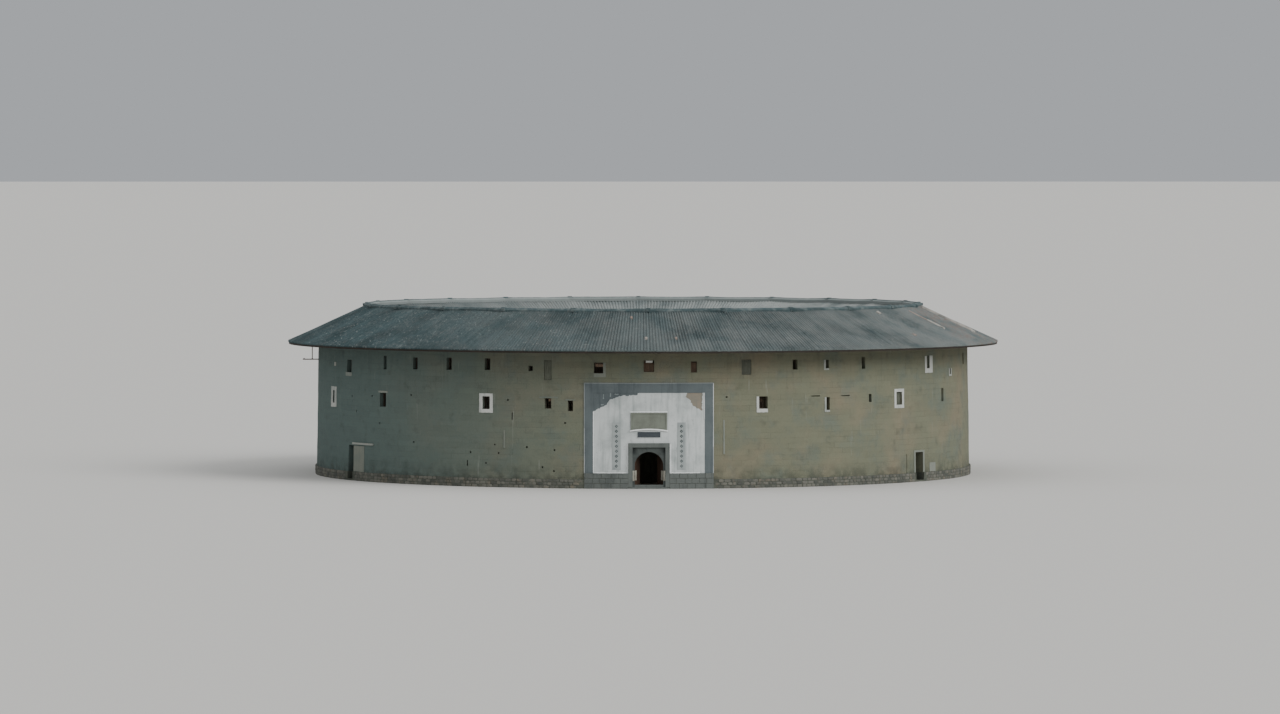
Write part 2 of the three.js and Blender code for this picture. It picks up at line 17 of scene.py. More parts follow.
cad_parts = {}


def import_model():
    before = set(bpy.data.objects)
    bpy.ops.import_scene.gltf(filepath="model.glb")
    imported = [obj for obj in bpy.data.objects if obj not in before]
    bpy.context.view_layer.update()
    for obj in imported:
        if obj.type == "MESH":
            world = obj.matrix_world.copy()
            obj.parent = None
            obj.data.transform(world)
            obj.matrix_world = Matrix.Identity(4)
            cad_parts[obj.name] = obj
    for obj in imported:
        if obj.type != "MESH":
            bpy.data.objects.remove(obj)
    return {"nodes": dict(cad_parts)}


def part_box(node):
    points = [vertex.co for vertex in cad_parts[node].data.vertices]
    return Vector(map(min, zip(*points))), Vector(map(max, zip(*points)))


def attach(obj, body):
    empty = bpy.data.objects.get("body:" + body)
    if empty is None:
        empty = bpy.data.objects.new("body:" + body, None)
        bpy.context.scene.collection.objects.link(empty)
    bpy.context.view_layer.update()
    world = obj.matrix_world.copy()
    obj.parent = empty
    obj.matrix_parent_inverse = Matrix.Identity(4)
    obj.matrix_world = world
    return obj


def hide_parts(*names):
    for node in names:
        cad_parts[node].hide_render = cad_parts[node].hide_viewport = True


bl_info = {
    "name": "Tulou roundhouse",
    "version": (1, 0, 0),
    "blender": (4, 5, 0),
    "location": "View3D > Sidebar > Tulou",
    "description": "Builds the earth wall, tiled roof, gate and galleries of a round communal house",
    "category": "Add Mesh",
}

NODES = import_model()["nodes"]

# Metres of the model for each metre of the real building.
REAL = 0.5

# The frame's wall has 80 flats at its radii, and a smooth ring runs midway between flats and corners.
WALL_FLATS = 80
FLATS_TO_ROUND = 0.01

STOREY_COUNT = 4
STOREYS = range(STOREY_COUNT)
UPPER_STOREYS = range(1, STOREY_COUNT)


def frame_top(node):
    """Height of the top of a frame node, in real metres."""
    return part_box(node)[1].z / REAL


def frame_front(node):
    """Distance of a frame node's front from the centre of the court, in real metres."""
    return -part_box(node)[0].y / REAL


FLOOR_TOPS = [frame_top(name) for name in ("ground_floor", "floor_2", "floor_3", "floor_4")]
FLOOR_DEPTH = 0.16
WALL_INSIDES = [24.55 + 0.15 * storey for storey in STOREYS]
LEDGES = [FLOOR_TOPS[storey] - FLOOR_DEPTH for storey in UPPER_STOREYS]
FOOTINGS = [name for name in NODES if "footing" in name]
FOOTING_HEIGHT = frame_top(FOOTINGS[0])
FOOTING_RADIUS = 26.2
EAVE_RADIUS = frame_front("roof_outer_slope")
DADO_TOP = frame_top("dado_left")
DADO_RADIUS = frame_front("dado_left")

# How far the deck under the tiles lies below their top, and how far below the roof the wall has its
# top radius.
DECK_DROP = 0.15
TOP_RADIUS_DROP = 0.32

# Windows that the front shows: angle, width, sill and head.
FRONT_TOP_WINDOWS = [
    (-63.2, 0.8, 8.45, 9.4), (-51.4, 0.37, 8.8, 9.85), (-43.6, 0.5, 8.88, 9.8), (-36, 0.5, 8.91, 9.85),
    (-28.3, 0.48, 8.96, 9.85), (-20.3, 0.36, 8.93, 9.31), (-8.5, 0.72, 8.79, 9.6),
    (7.6, 0.46, 8.85, 9.69), (16.7, 0.78, 8.65, 9.8), (25.65, 0.42, 9, 9.75),
    (32, 0.3, 9.05, 9.7), (39.9, 0.35, 8.94, 9.85), (57.9, 0.48, 8.78, 9.76), (67.3, 0.3, 8.2, 8.66),
]
FRONT_THIRD_WINDOWS = [
    (-70.2, 0.44, 5.94, 6.93), (-51.9, 0.78, 5.89, 6.96), (-28.5, 0.65, 5.97, 6.94),
    (-17.2, 0.54, 6.07, 6.85), (-13.3, 0.41, 5.89, 6.69), (19.7, 0.72, 6.04, 6.98),
    (32.1, 0.32, 5.85, 6.83), (41.4, 0.3, 6.36, 6.98), (48.75, 0.72, 6.06, 7.06), (63.5, 0.45, 6.12, 7.16),
]
GATE_WINDOW = (0, 0.8, 8.9, 9.8)
BOARDED_WINDOW = (-17.2, 0.6, 8.26, 9.75)

# Windows of the unseen side: one to each bay on the top storey, one to every second bay below.
# The pole rack stands in the last one.
BACK_ANGLES = [76.5 + 9 * number for number in range(23)]
BACK_TOP, BACK_THIRD = (0.55, 8.86, 9.77), (0.55, 6.03, 6.93)
RACK_WINDOW = (BACK_ANGLES[-1], 0.55, 9.12, 9.77)

# All windows with a timber frame and bars.
FRAMED_WINDOWS = [
    *FRONT_TOP_WINDOWS, *FRONT_THIRD_WINDOWS, *((angle, *BACK_TOP) for angle in BACK_ANGLES[:-1]),
    *((angle, *BACK_THIRD) for angle in BACK_ANGLES[1::2]),
]

# Side doorways: angle, width and head. The gate's bay is a cut of the same kind.
RIGHT_DOORWAY = (54.5, 1.1, 2.3)
LEFT_DOORWAY = (-62, 0.9, 2.75)
GATE_BAY = (0, 3.15, 3.48)

# Small holes left by the scaffold, and slits: angle, height of the middle, width and height.
HOLE_DEPTH = 0.22
SMALL_HOLES = [
    (-62, 6.58, 0.14, 0.14), (-55.1, 6.68, 0.15, 0.15), (-44.5, 6.89, 0.15, 0.13), (-24.4, 6.69, 0.14, 0.14),
    (-23.6, 5.46, 0.1, 0.55), (13.2, 6.96, 0.15, 0.12), (-52.7, 4.61, 0.14, 0.13), (-43.8, 3.26, 0.16, 0.15),
    (-31.5, 2.64, 0.16, 0.15), (-32.1, 1.79, 0.12, 0.42), (-26.8, 3.26, 0.13, 0.12),
    (-26.1, 2.62, 0.14, 0.13), (-20.9, 3.11, 0.15, 0.14), (-14.2, 4.98, 0.14, 0.13), (-16, 2.91, 0.14, 0.14),
    (-18.1, 1.6, 0.14, 0.13), (-16.1, 1.31, 0.13, 0.13), (-28.5, 1.83, 0.12, 0.12), (-60.3, 5.43, 0.13, 0.13),
    (29.6, 6.94, 0.8, 0.08), (35.8, 6.91, 0.85, 0.07), (50.7, 1.46, 0.07, 1.48),
]

# Limewash round windows and the right doorway's upper part: the opening, how far the coat runs to its left,
# to its right, below and above, and whiteness.
SURROUNDS = [
    (FRONT_TOP_WINDOWS[12], 0.26, 0.48, 0.35, 0, 0.8), (FRONT_TOP_WINDOWS[13], 0.17, 0.17, 0.14, 0, 0.5),
    (FRONT_TOP_WINDOWS[10], 0.17, 0, 0.13, 0, 0.45), (FRONT_TOP_WINDOWS[6], 0, 0.21, 0.29, 0, 0.16),
    (FRONT_THIRD_WINDOWS[0], 0.44, 0.44, 0.32, 0.29, 0.75),
    (FRONT_THIRD_WINDOWS[2], 0.265, 0.265, 0.28, 0.22, 1.0),
    (FRONT_THIRD_WINDOWS[5], 0.2, 0, 0.28, 0, 0.85), (FRONT_THIRD_WINDOWS[6], 0.16, 0, 0.15, 0, 0.6),
    (FRONT_THIRD_WINDOWS[8], 0.24, 0.24, 0.26, 0.24, 0.85),
    ((*RIGHT_DOORWAY[:2], 0.72, RIGHT_DOORWAY[2]), 0.2, 0.22, 0, 0.14, 0.2),
]

# Patches and streaks of the same limewash: angle, left and right of it, bottom, top and whiteness.
WHITE_PATCHES = [
    (-63.2, -0.6, 0.5, 8.15, 8.43, 0.3), (-51.9, -0.55, 0.6, 6.98, 7.12, 0.3),
    (-17.2, -0.7, 0.8, 6.88, 6.98, 0.12), (-13.3, -0.38, 0.39, 6.71, 6.79, 0.15),
    (-69.7, -0.2, 0.2, 8.85, 9.15, 0.45), (-59.1, -0.85, 0.8, 0.72, 2.72, 0.18),
    (12.7, -0.05, 0.06, 2.62, 5.21, 0.22), (-25, -0.06, 0.05, 3.01, 4.38, 0.16),
    (59, -0.5, 0.5, 0.72, 1.42, 0.2),
]

# Board shutters that stand closed: the window, their top, how far they stand back, and how pale they are.
SHUTTERS = [
    (GATE_WINDOW, 9.56, 0.12, 0.28), (BOARDED_WINDOW, 9.73, 0.05, 0.62),
    (FRONT_TOP_WINDOWS[7], 9.6, 0.12, 0.2), (FRONT_TOP_WINDOWS[8], 9.78, 0.06, 0.32),
    (FRONT_TOP_WINDOWS[12], 9.74, 0.14, 0.42),
    (FRONT_THIRD_WINDOWS[0], 6.9, 0.12, 0.25), (FRONT_THIRD_WINDOWS[8], 7.03, 0.14, 0.4),
]

# The pale lintel over the left side doorway: angle of its middle, half length, bottom and top.
LEFT_LINTEL = (-57.9, 1.55, 2.83, 2.98)

# The plastered field round the gate, seen from the front, with its two fallen corners.
FIELD_HALF, FIELD_LOW, FIELD_TOP = 4.26, DADO_TOP - 0.01, 7.3
BORDER_HALF, BORDER_TOP = 4.95, 8.07
BAY_HALF, BAY_TOP = GATE_BAY[1] / 2, GATE_BAY[2]
FALLEN_LEFT = [(-4.26, 5.9), (-3.2, 6.4), (-3.03, 6.72), (-2.25, 7.08), (-0.94, 7.12), (-0.86, 7.3)]
FALLEN_RIGHT = [(2.92, 7.3), (2.78, 7.01), (3.14, 6.75), (3.33, 6.35), (4.05, 5.92), (4.08, 7.3)]
NAME_SLAB = (-1.385, 1.385, 4.495, 5.805)
LONG_BOARD = (-0.87, 0.87, 3.93, 4.33)

# The gate leaves, drawn closed and then turned open.
HINGE_X, HINGE_Y = 1.18, -25.755
LEAF_WIDTH, LEAF_THICKNESS = 1.17, 0.09
LEAF_BOTTOM, LEAF_TOP = 0.136, 2.9
LEAF_OPEN = 66
ARCH_FACE = frame_front("gate_arch")


def to_linear(hex_colour):
    """A linear RGBA colour from an sRGB hex value."""
    values = [int(hex_colour[start:start + 2], 16) / 255 for start in (1, 3, 5)]
    linear = [v / 12.92 if v <= 0.04045 else ((v + 0.055) / 1.055) ** 2.4 for v in values]
    return (*linear, 1.0)


def length(name, default, description):
    """A size of the real building, in metres."""
    return FloatProperty(
        name=name, description=description, default=default, min=0, unit="LENGTH", precision=3)


def measure(name, default, description):
    """A number whose unit its description gives."""
    return FloatProperty(name=name, description=description, default=default, min=0)


def how_many(name, default, description):
    """A whole number of things."""
    return IntProperty(name=name, description=description, default=default, min=1)


def colour(name, default, description):
    """A colour given as an sRGB hex value."""
    return FloatVectorProperty(
        name=name, description=description, default=to_linear(default), size=4, min=0, max=1, subtype="COLOR")


class WallSettings(bpy.types.PropertyGroup):
    """The rammed earth wall and its river-stone footing."""

    foot_radius: length("Foot radius", 26.1, "Outer radius of the earth wall at its foot")
    top_radius: length("Top radius", 25.93, "Outer radius of the earth wall under the eave")
    relief: length("Relief", 0.014, "How far the face swells and dips")
    row_height: length("Row height", 0.25, "Height of a row of the wall's mesh")
    stone_width: length("Stone width", 0.43, "Usual width of a footing stone")
    earth: colour("Earth", "#737563", "Dry rammed earth")
    # Grey earth also stands for painted shade on the wall's left side, and warm earth for painted warm light
    # on its right.
    grey_earth_and_shade: colour("Grey earth", "#5b6b68", "Earth that lichen and rain have greyed")
    warm_earth_and_light: colour("Warm earth", "#8a7d69", "Earth with more clay")
    stain: colour("Stain", "#3a3f3b", "Rain stains")
    river_stone: colour("River stone", "#6f6e65", "Footing stones")
    lime: colour("Lime", "#c9cac4", "Whitewashed plaster round the openings")


class RoofSettings(bpy.types.PropertyGroup):
    """The two tiled slopes, their ridge and the timber under them."""

    ridge_radius: length("Ridge radius", 22.13, "Radius of the ridge")
    court_eave_radius: length("Court eave radius", 16.6, "Radius of the eave over the court")
    eave_height: length("Eave height", 10.64, "Height of the tiles at the outer eave")
    slope: FloatProperty(
        name="Slope", description="Pitch of both slopes", default=math.radians(24.4), subtype="ANGLE")
    roll: length("Tile roll", 0.05, "Half the height between pan tiles and cover tiles")
    outer_rows: how_many("Outer rows", 720, "Rows of tiles on the outer slope")
    court_rows: how_many("Court rows", 540, "Rows of tiles on the court slope")
    ridge_flats: how_many("Ridge lengths", 24, "Straight lengths of the ridge")
    tile: colour("Tile", "#435355", "Fired clay tile")
    dark_tile: colour("Dark tile", "#283739", "Tile with soot and moss")
    # Pale tile is also the painted light over the right-hand side of the outer slope.
    pale_tile: colour("Pale tile", "#8b908d", "Tile with lichen")
    brown_tile: colour("Brown tile", "#7d6a60", "Newer, redder tile")
    mortar: colour("Mortar", "#767d7b", "Lime mortar of the ridge")


class GateSettings(bpy.types.PropertyGroup):
    """The plastered gate front, its stones and its two leaves."""

    plaster_depth: length("Plaster depth", 0.035, "How far the plaster stands off the earth")
    border_depth: length("Border depth", 0.05, "How far the border stands off the earth")
    plaster: colour("Plaster", "#c6cac8", "Lime plaster")
    border: colour("Border", "#626a6b", "Blue-grey limewash")
    undercoat: colour("Undercoat", "#8f8475", "Clay undercoat where plaster has fallen")
    rim: colour("Rim", "#eff1ef", "Fresh limewash along the edges of the plaster")
    granite: colour("Granite", "#616662", "Dressed granite of the surround")
    slab: colour("Name slab", "#777c71", "Greenish stone slab over the gate")
    board: colour("Board", "#4a5054", "Slate-grey painted board")
    leaf: colour("Leaf", "#47372b", "Gate boards")


class GallerySettings(bpy.types.PropertyGroup):
    """The timber galleries round the court."""

    bays: how_many("Bays", 40, "Bays round the court")
    baluster_gap: length("Baluster gap", 0.16, "Distance between balusters")
    joist_count: how_many("Joists", 120, "Joists under each upper floor")
    fir: colour("Fir", "#6c5947", "Weathered fir")
    fir_dark: colour("Dark fir", "#3d3128", "Smoke-darkened fir")


class StageSettings(bpy.types.PropertyGroup):
    """The floor, the light and the camera."""

    floor: colour("Floor", "#cbc9c4", "Plain pale floor")
    sky: colour("Sky", "#d7dbe0", "Plain pale light from all sides")
    sky_strength: measure("Sky strength", 0.62, "Light from all sides")
    key_strength: measure("Key strength", 2.1, "Soft light from the front right")
    overhead_strength: measure("Overhead strength", 1.2, "Soft light from above")
    camera_lens: measure("Lens", 182.6, "Focal length in mm")
    camera_distance: measure("Distance", 260, "From the centre, in model metres")
    camera_height: measure("Height", 12.515, "Above the ground, in model metres")


def settings(name):
    """One of the scene's groups of settings."""
    return getattr(bpy.context.scene, f"tulou_{name}")


# Points, faces and outlines.


def at(radius, degrees, height):
    """Points round the building, from radii, angles from the gate and heights."""
    turn = np.radians(degrees)
    return np.stack(np.broadcast_arrays(radius * np.sin(turn), -radius * np.cos(turn), height), -1)


def turned(points, degrees):
    """Points turned about the building's centre."""
    turn = math.radians(degrees)
    x, y, z = np.asarray(points, float).T
    return np.stack([x * math.cos(turn) - y * math.sin(turn), x * math.sin(turn) + y * math.cos(turn), z], -1)


def grid_faces(rows, columns, join_rows=False, join_columns=False):
    """Four-sided faces between points numbered row by row. Joining closes the grid on itself."""
    row = np.arange(rows if join_rows else rows - 1)[:, None]
    column = np.arange(columns if join_columns else columns - 1)[None, :]
    next_row = (row + 1) % rows
    next_column = (column + 1) % columns
    corners = [
        row * columns + column, row * columns + next_column,
        next_row * columns + next_column, next_row * columns + column,
    ]
    return np.stack(np.broadcast_arrays(*corners), -1).reshape(-1, 4)


def bar_faces(rings, points):
    """Faces of a bar: rings of points joined one to the next, with both ends closed."""
    count = rings * points
    ends = [tuple(range(points)), tuple(range(count - 1, count - points - 1, -1))]
    return grid_faces(rings, points, join_columns=True).tolist() + ends


def prism(loop, front, back):
    """The points and faces of a thin slab with an outline seen from the front."""
    return [(x, y, z) for y in (front, back) for x, z in loop], bar_faces(2, len(loop))


def rectangle(left, right, low, high):
    """The outline of a rectangle, seen from the front."""
    return [(left, low), (right, low), (right, high), (left, high)]


def stepped(start, end, count):
    """Points from a start on towards an end, without the end."""
    shares = [step / count for step in range(count)]
    return [tuple(near + (far - near) * share for near, far in zip(start, end)) for share in shares]


def spaced(loop, spacing):
    """A loop of points with more between them, so that no two lie further apart than the spacing."""
    points = []
    for start, end in zip(loop, [*loop[1:], loop[0]]):
        points += stepped(start, end, max(1, math.ceil(math.dist(start, end) / spacing)))
    return points


def ragged(points, seed, amount=0.05, spacing=0.09):
    """A broken edge: more points along an open line, each pushed a little aside."""
    rng = np.random.default_rng(seed)
    line = []
    for start, end in zip(points, points[1:]):
        first, *others = stepped(start, end, max(1, round(math.dist(start, end) / spacing)))
        line += [first, *(tuple(other + rng.uniform(-amount, amount, 2)) for other in others)]
    return [*line, points[-1]]


def ragged_loop(loop, seed, amount=0.012, spacing=0.11):
    """A closed outline with a hand-made, uneven edge."""
    return ragged([*loop, loop[0]], seed, amount, spacing)[:-1]


def within(point, loop):
    """Whether a point lies inside a loop."""
    x, z = point
    inside = False
    for (x0, z0), (x1, z1) in zip(loop, [*loop[1:], loop[0]]):
        if (z0 > z) != (z1 > z) and x < x0 + (z - z0) / (z1 - z0) * (x1 - x0):
            inside = not inside
    return inside


def roof_top(radius):
    """Height of the frame's roof at a radius, on either slope."""
    chosen = settings("roof")
    rise = math.tan(chosen.slope)
    ridge = chosen.eave_height + (EAVE_RADIUS - chosen.ridge_radius) * rise
    return ridge - np.abs(np.asarray(radius) - chosen.ridge_radius) * rise


def wall_radius(height):
    """Radius of the earth wall's outer face at a height, between the frame's flats and its corners."""
    chosen = settings("wall")
    top = float(roof_top(chosen.top_radius)) - TOP_RADIUS_DROP
    share = (np.asarray(height) - FOOTING_HEIGHT) / (top - FOOTING_HEIGHT)
    return chosen.foot_radius + (chosen.top_radius - chosen.foot_radius) * share + FLATS_TO_ROUND


class Shape:
    """Points and faces gathered before a mesh is made of them, with a tone for each face."""

    BOX_FACES = bar_faces(2, 4)
    SKIN_CELL = 0.3
    SMOOTH_ANGLE = math.radians(50)

    def __init__(self):
        self.points, self.faces, self.tones, self.count = [], [], [], 0

    def add(self, points, faces, tone=0.5):
        points = np.asarray(points, float).reshape(-1, 3)
        faces = faces.tolist() if isinstance(faces, np.ndarray) else faces
        self.points.append(points)
        self.faces += [tuple(index + self.count for index in face) for face in faces]
        self.tones += [tone] * len(faces)
        self.count += len(points)

    def box(self, low, high, degrees=0, tone=0.5):
        """A box between two corners, turned round the building. Its own front is towards -Y."""
        (x0, y0, z0), (x1, y1, z1) = low, high
        ring = [(x0, y0), (x1, y0), (x1, y1), (x0, y1)]
        self.add(turned([(x, y, z) for z in (z0, z1) for x, y in ring], degrees), self.BOX_FACES, tone)

    def spar(self, degrees, width, inside, outside, low, high, tone=0.5):
        """A timber that runs outwards; low and high give its height at a radius."""
        half = width / 2
        ring = [(-half, -outside), (half, -outside), (half, -inside), (-half, -inside)]
        points = [(x, y, level(-y)) for level in (low, high) for x, y in ring]
        self.add(turned(points, degrees), self.BOX_FACES, tone)

    def sweep(self, section, angles, closed=False, tone=0.5):
        """A section of [radius, height] points carried round the building."""
        section, angles = np.asarray(section, float), np.asarray(angles, float)
        points = at(section[None, :, 0], angles[:, None], section[None, :, 1])
        size = len(angles), len(section)
        faces = grid_faces(*size, join_rows=True, join_columns=True) if closed else bar_faces(*size)
        self.add(points, faces, tone)

    def arc_box(self, inside, outside, start, end, low, high, tone=0.5, step=1.5):
        """A box bent round the building between two angles."""
        steps = max(1, math.ceil(abs(end - start) / step))
        section = rectangle(inside, outside, low, high)
        self.sweep(section, np.linspace(start, end, steps + 1), tone=tone)

    def skin(self, outline, lift, holes=(), sunk=-0.02, angle=0, tone=0.5):
        """A slab that follows the face of the wall, cut to an outline seen from the front of an angle."""
        flat, edges = [], []
        for loop in (outline, *holes):
            loop = spaced(loop, self.SKIN_CELL)
            edges += [(len(flat) + index, len(flat) + (index + 1) % len(loop)) for index in range(len(loop))]
            flat += loop
        flat += product(*(
            np.arange(low + self.SKIN_CELL / 2, high, self.SKIN_CELL)
            for low, high in zip(np.min(outline, 0), np.max(outline, 0))))
        placed, _, triangles = delaunay_2d_cdt([Vector(point) for point in flat], edges, [], 0, 1e-5)[:3]

        def covers(triangle):
            middle = sum((placed[index] for index in triangle), Vector((0, 0))) / 3
            return within(middle, outline) and not any(within(middle, hole) for hole in holes)

        kept = [triangle for triangle in triangles if covers(triangle)]
        used = sorted({index for triangle in kept for index in triangle})
        number = {index: order for order, index in enumerate(used)}
        points = [
            (x, -math.sqrt((float(wall_radius(z)) + depth) ** 2 - x * x), z)
            for depth in (sunk, lift) for x, z in (placed[index] for index in used)]
        back = [tuple(number[index] for index in triangle) for triangle in kept]
        count = len(used)
        faces = back + [tuple(index + count for index in reversed(triangle)) for triangle in back]
        sides = {(a, b) for triangle in back for a, b in zip(triangle, triangle[1:] + triangle[:1])}
        faces += [(a, b, b + count, a + count) for a, b in sides if (b, a) not in sides]
        self.add(turned(points, angle), faces, tone)

    def piece(self, name, material, slot, replaces=(), body="house", smooth=False, edge=0):
        """Makes the object, which rides on a body of the frame."""
        mesh = bpy.data.meshes.new(name)
        mesh.from_pydata((np.concatenate(self.points) * REAL).tolist(), [], self.faces)
        tones = mesh.attributes.new("tone", "FLOAT", "FACE")
        tones.data.foreach_set("value", np.array(self.tones, np.float32))
        shell = bmesh.new()
        shell.from_mesh(mesh)
        bmesh.ops.recalc_face_normals(shell, faces=shell.faces)
        shell.to_mesh(mesh)
        shell.free()
        if smooth:
            mesh.shade_smooth()
            mesh.set_sharp_from_angle(angle=self.SMOOTH_ANGLE)
        mesh.materials.append(material)
        made = bpy.data.objects.new(name, mesh)
        bpy.context.scene.collection.objects.link(made)
        if edge:
            wear_edges(made, edge, 1)
        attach(made, body)
        if replaces:
            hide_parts(*replaces)


def wear_edges(thing, width, segments):
    """Bevels the sharp edges of an object."""
    bevel = thing.modifiers.new("worn_edges", "BEVEL")
    bevel.width = width * REAL
    bevel.segments = segments
    bevel.limit_method = "ANGLE"


# Materials.


def per(millimetres):
    """How many times a pattern of that real spacing repeats in a metre of the model."""
    return 1000 / (millimetres * REAL)


class Finish:
    """A material in the making: its nodes, the place of each point, and the colour laid on so far."""

    def __init__(self, name, colour, roughness, specular):
        self.material = bpy.data.materials.new(name)
        self.material.use_nodes = True
        self.tree = self.material.node_tree
        self.shader = self.tree.nodes["Principled BSDF"].inputs
        self.shader["Roughness"].default_value = roughness
        self.shader["Specular IOR Level"].default_value = specular
        self.place = self.node("TexCoord", output="Object")
        self.colour = colour

    def node(self, kind, inputs=(), output=0, **options):
        """Adds a node, sets its options, sets or links its inputs, and returns one of its outputs."""
        made = self.tree.nodes.new(f"ShaderNode{kind}")
        for name, value in options.items():
            setattr(made, name, value)
        for name, value in inputs.items() if isinstance(inputs, dict) else enumerate(inputs):
            if isinstance(value, bpy.types.NodeSocket):
                self.tree.links.new(value, made.inputs[name])
            else:
                made.inputs[name].default_value = value
        return made.outputs[output]

    def round_place(self):
        """Radius, turn from the gate in radians, and height of each point."""
        axes = self.node("SeparateXYZ", [self.place]).node.outputs
        front = self.node("Math", [axes["Y"], -1.0], operation="MULTIPLY")
        turn = self.node("Math", [axes["X"], front], operation="ARCTAN2")
        flat = self.node("VectorMath", [self.place, (1, 1, 0)], operation="MULTIPLY")
        return self.node("VectorMath", [flat], "Value", operation="LENGTH"), turn, axes["Z"]

    def lay(self, over, size, span, strength, detail=4, mask=None, place=None):
        """Lays a colour where a noise of a real size in mm lies high in a span, and returns its share."""
        place = self.place if place is None else place
        pattern = {"Vector": place, "Scale": per(size), "Detail": detail, "Roughness": 0.6}
        noise = self.node("TexNoise", pattern)
        share = self.node("MapRange", [noise, *span, 0.0, strength], interpolation_type="SMOOTHSTEP")
        if mask is not None:
            share = self.node("Math", [share, mask], operation="MULTIPLY")
        self.colour = self.node("MixRGB", [share, self.colour, over])
        return share

    def done(self, height, strength, depth):
        """Links the colour, and a bump of a real depth in millimetres, and returns the material."""
        bump = {"Height": height, "Strength": strength, "Distance": depth / 1000 * REAL}
        self.tree.links.new(self.colour, self.shader["Base Color"])
        self.tree.links.new(self.node("Bump", bump), self.shader["Normal"])
        return self.material


def rammed_earth():
    """Rammed earth, pounded in lifts between boards: matt and blotchy, with faint joints and rain stains."""
    chosen = settings("wall")
    earth = Finish("rammed_earth", chosen.earth, 0.95, 0.15)
    _, turn, height = earth.round_place()
    lift = earth.node("Math", [height, per(420)], operation="MULTIPLY")
    level = earth.node("Math", [lift], operation="FLOOR")
    shift = earth.node("Math", [level, 0.37], operation="MULTIPLY")
    blocks = earth.node("Math", [turn, WALL_FLATS / (2 * math.pi), shift], operation="MULTIPLY_ADD")
    block = earth.node("Math", [blocks], operation="FLOOR")
    cell = earth.node("CombineXYZ", [block, level])
    chance = earth.node("TexWhiteNoise", [cell], noise_dimensions="2D")

    # Painted shade makes the left side darker and greyer, and painted warm light makes the right side warmer.
    edge = chosen.foot_radius * REAL
    across = earth.node("SeparateXYZ", [earth.place], "X")
    side = earth.node("MapRange", [across, -0.95 * edge, 0.05 * edge], interpolation_type="SMOOTHSTEP")
    earth.colour = earth.node("MixRGB", [side, chosen.grey_earth_and_shade, chosen.earth])
    earth.lay(chosen.warm_earth_and_light, 5200, (0.42, 0.7), 0.55, mask=side)
    earth.lay(chosen.grey_earth_and_shade, 2300, (0.45, 0.72), 0.45)
    earth.lay(chosen.stain, 900, (0.52, 0.8), 0.35, detail=7)
    tone = earth.node("MapRange", [chance, 0.0, 1.0, 0.95, 1.03])
    earth.colour = earth.node("MixRGB", [1.0, earth.colour, tone], blend_type="MULTIPLY")

    # Rain runs down from the eave and from the sills in long streaks.
    streaks = earth.node("VectorMath", [earth.place, (1, 1, 0.07)], operation="MULTIPLY")
    under_eave = earth.node("MapRange", [height, 2.6, 5.6])
    earth.lay(chosen.stain, 420, (0.5, 0.72), 0.2, mask=under_eave, place=streaks)
    earth.lay(chosen.lime, 300, (0.64, 0.8), 0.22, place=streaks)

    # Painted shade lies close under the eave, and damp rises from the foot.
    darkening = earth.node("MapRange", [height, 4.85, 5.2])
    earth.lay(chosen.stain, 2600, (0.1, 0.5), 0.08, mask=darkening)
    foot = earth.node("MapRange", [height, 1.0, 0.35])
    earth.lay(chosen.stain, 700, (0.3, 0.7), 0.6, mask=foot)

    # Joints between lifts and blocks, a little lower and darker than the face.
    warp = earth.node("TexNoise", {"Vector": earth.place, "Scale": per(350), "Detail": 3.0})
    joints = []
    for along, spacing in ((lift, 0.055), (blocks, 0.02)):
        wavy = earth.node("Math", [warp, spacing, along], operation="MULTIPLY_ADD")
        part = earth.node("Math", [wavy], operation="FRACT")
        joints.append(earth.node("MapRange", [part, 0.0, spacing, 1.0, 0.0]))
    joint = earth.node("Math", joints, operation="MAXIMUM")
    joint_share = earth.lay(chosen.stain, 1600, (0.35, 0.65), 0.4, mask=joint)

    # Drying cracks, and gravel that stands out of the worn face.
    warped = {"Vector": warp.node.outputs["Color"], "Scale": 5.0}
    cracks = earth.node("TexVoronoi", warped, "Distance", feature="DISTANCE_TO_EDGE")
    crack = earth.node("MapRange", [cracks, 0.0, 0.012, 1.0, 0.0])
    earth.lay(chosen.stain, 2800, (0.52, 0.62), 0.7, mask=crack)
    grit = earth.node("TexNoise", {"Vector": earth.place, "Scale": per(60), "Detail": 8.0, "Roughness": 0.7})
    earth.lay(chosen.warm_earth_and_light, 24, (0.5, 0.72), 0.35, detail=3)
    earth.lay(chosen.stain, 46, (0.58, 0.7), 0.45, detail=3)
    hollow = earth.node("Math", [joint_share, -1.2, grit], operation="MULTIPLY_ADD")
    return earth.done(hollow, 1.0, 22)


def lime_coat(name, shade, stain, stained=0.5, worn_to=None):
    """Lime plaster or limewash, floated on by hand: matt, faintly uneven, with grey rain streaks."""
    lime = Finish(name, shade, 0.9, 0.2)
    if worn_to:
        tone = lime.node("Attribute", output="Fac", attribute_name="tone")
        lime.colour = lime.node("MixRGB", [tone, worn_to, shade])
    lime.lay(stain, 1500, (0.4, 0.75), stained, detail=6)
    streaks = lime.node("VectorMath", [lime.place, (1, 1, 0.08)], operation="MULTIPLY")
    lime.lay(stain, 260, (0.45, 0.75), stained, detail=5, place=streaks)
    share = lime.lay(stain, 180, (0.58, 0.75), stained * 0.8, detail=7)
    return lime.done(share, 0.4, 10)


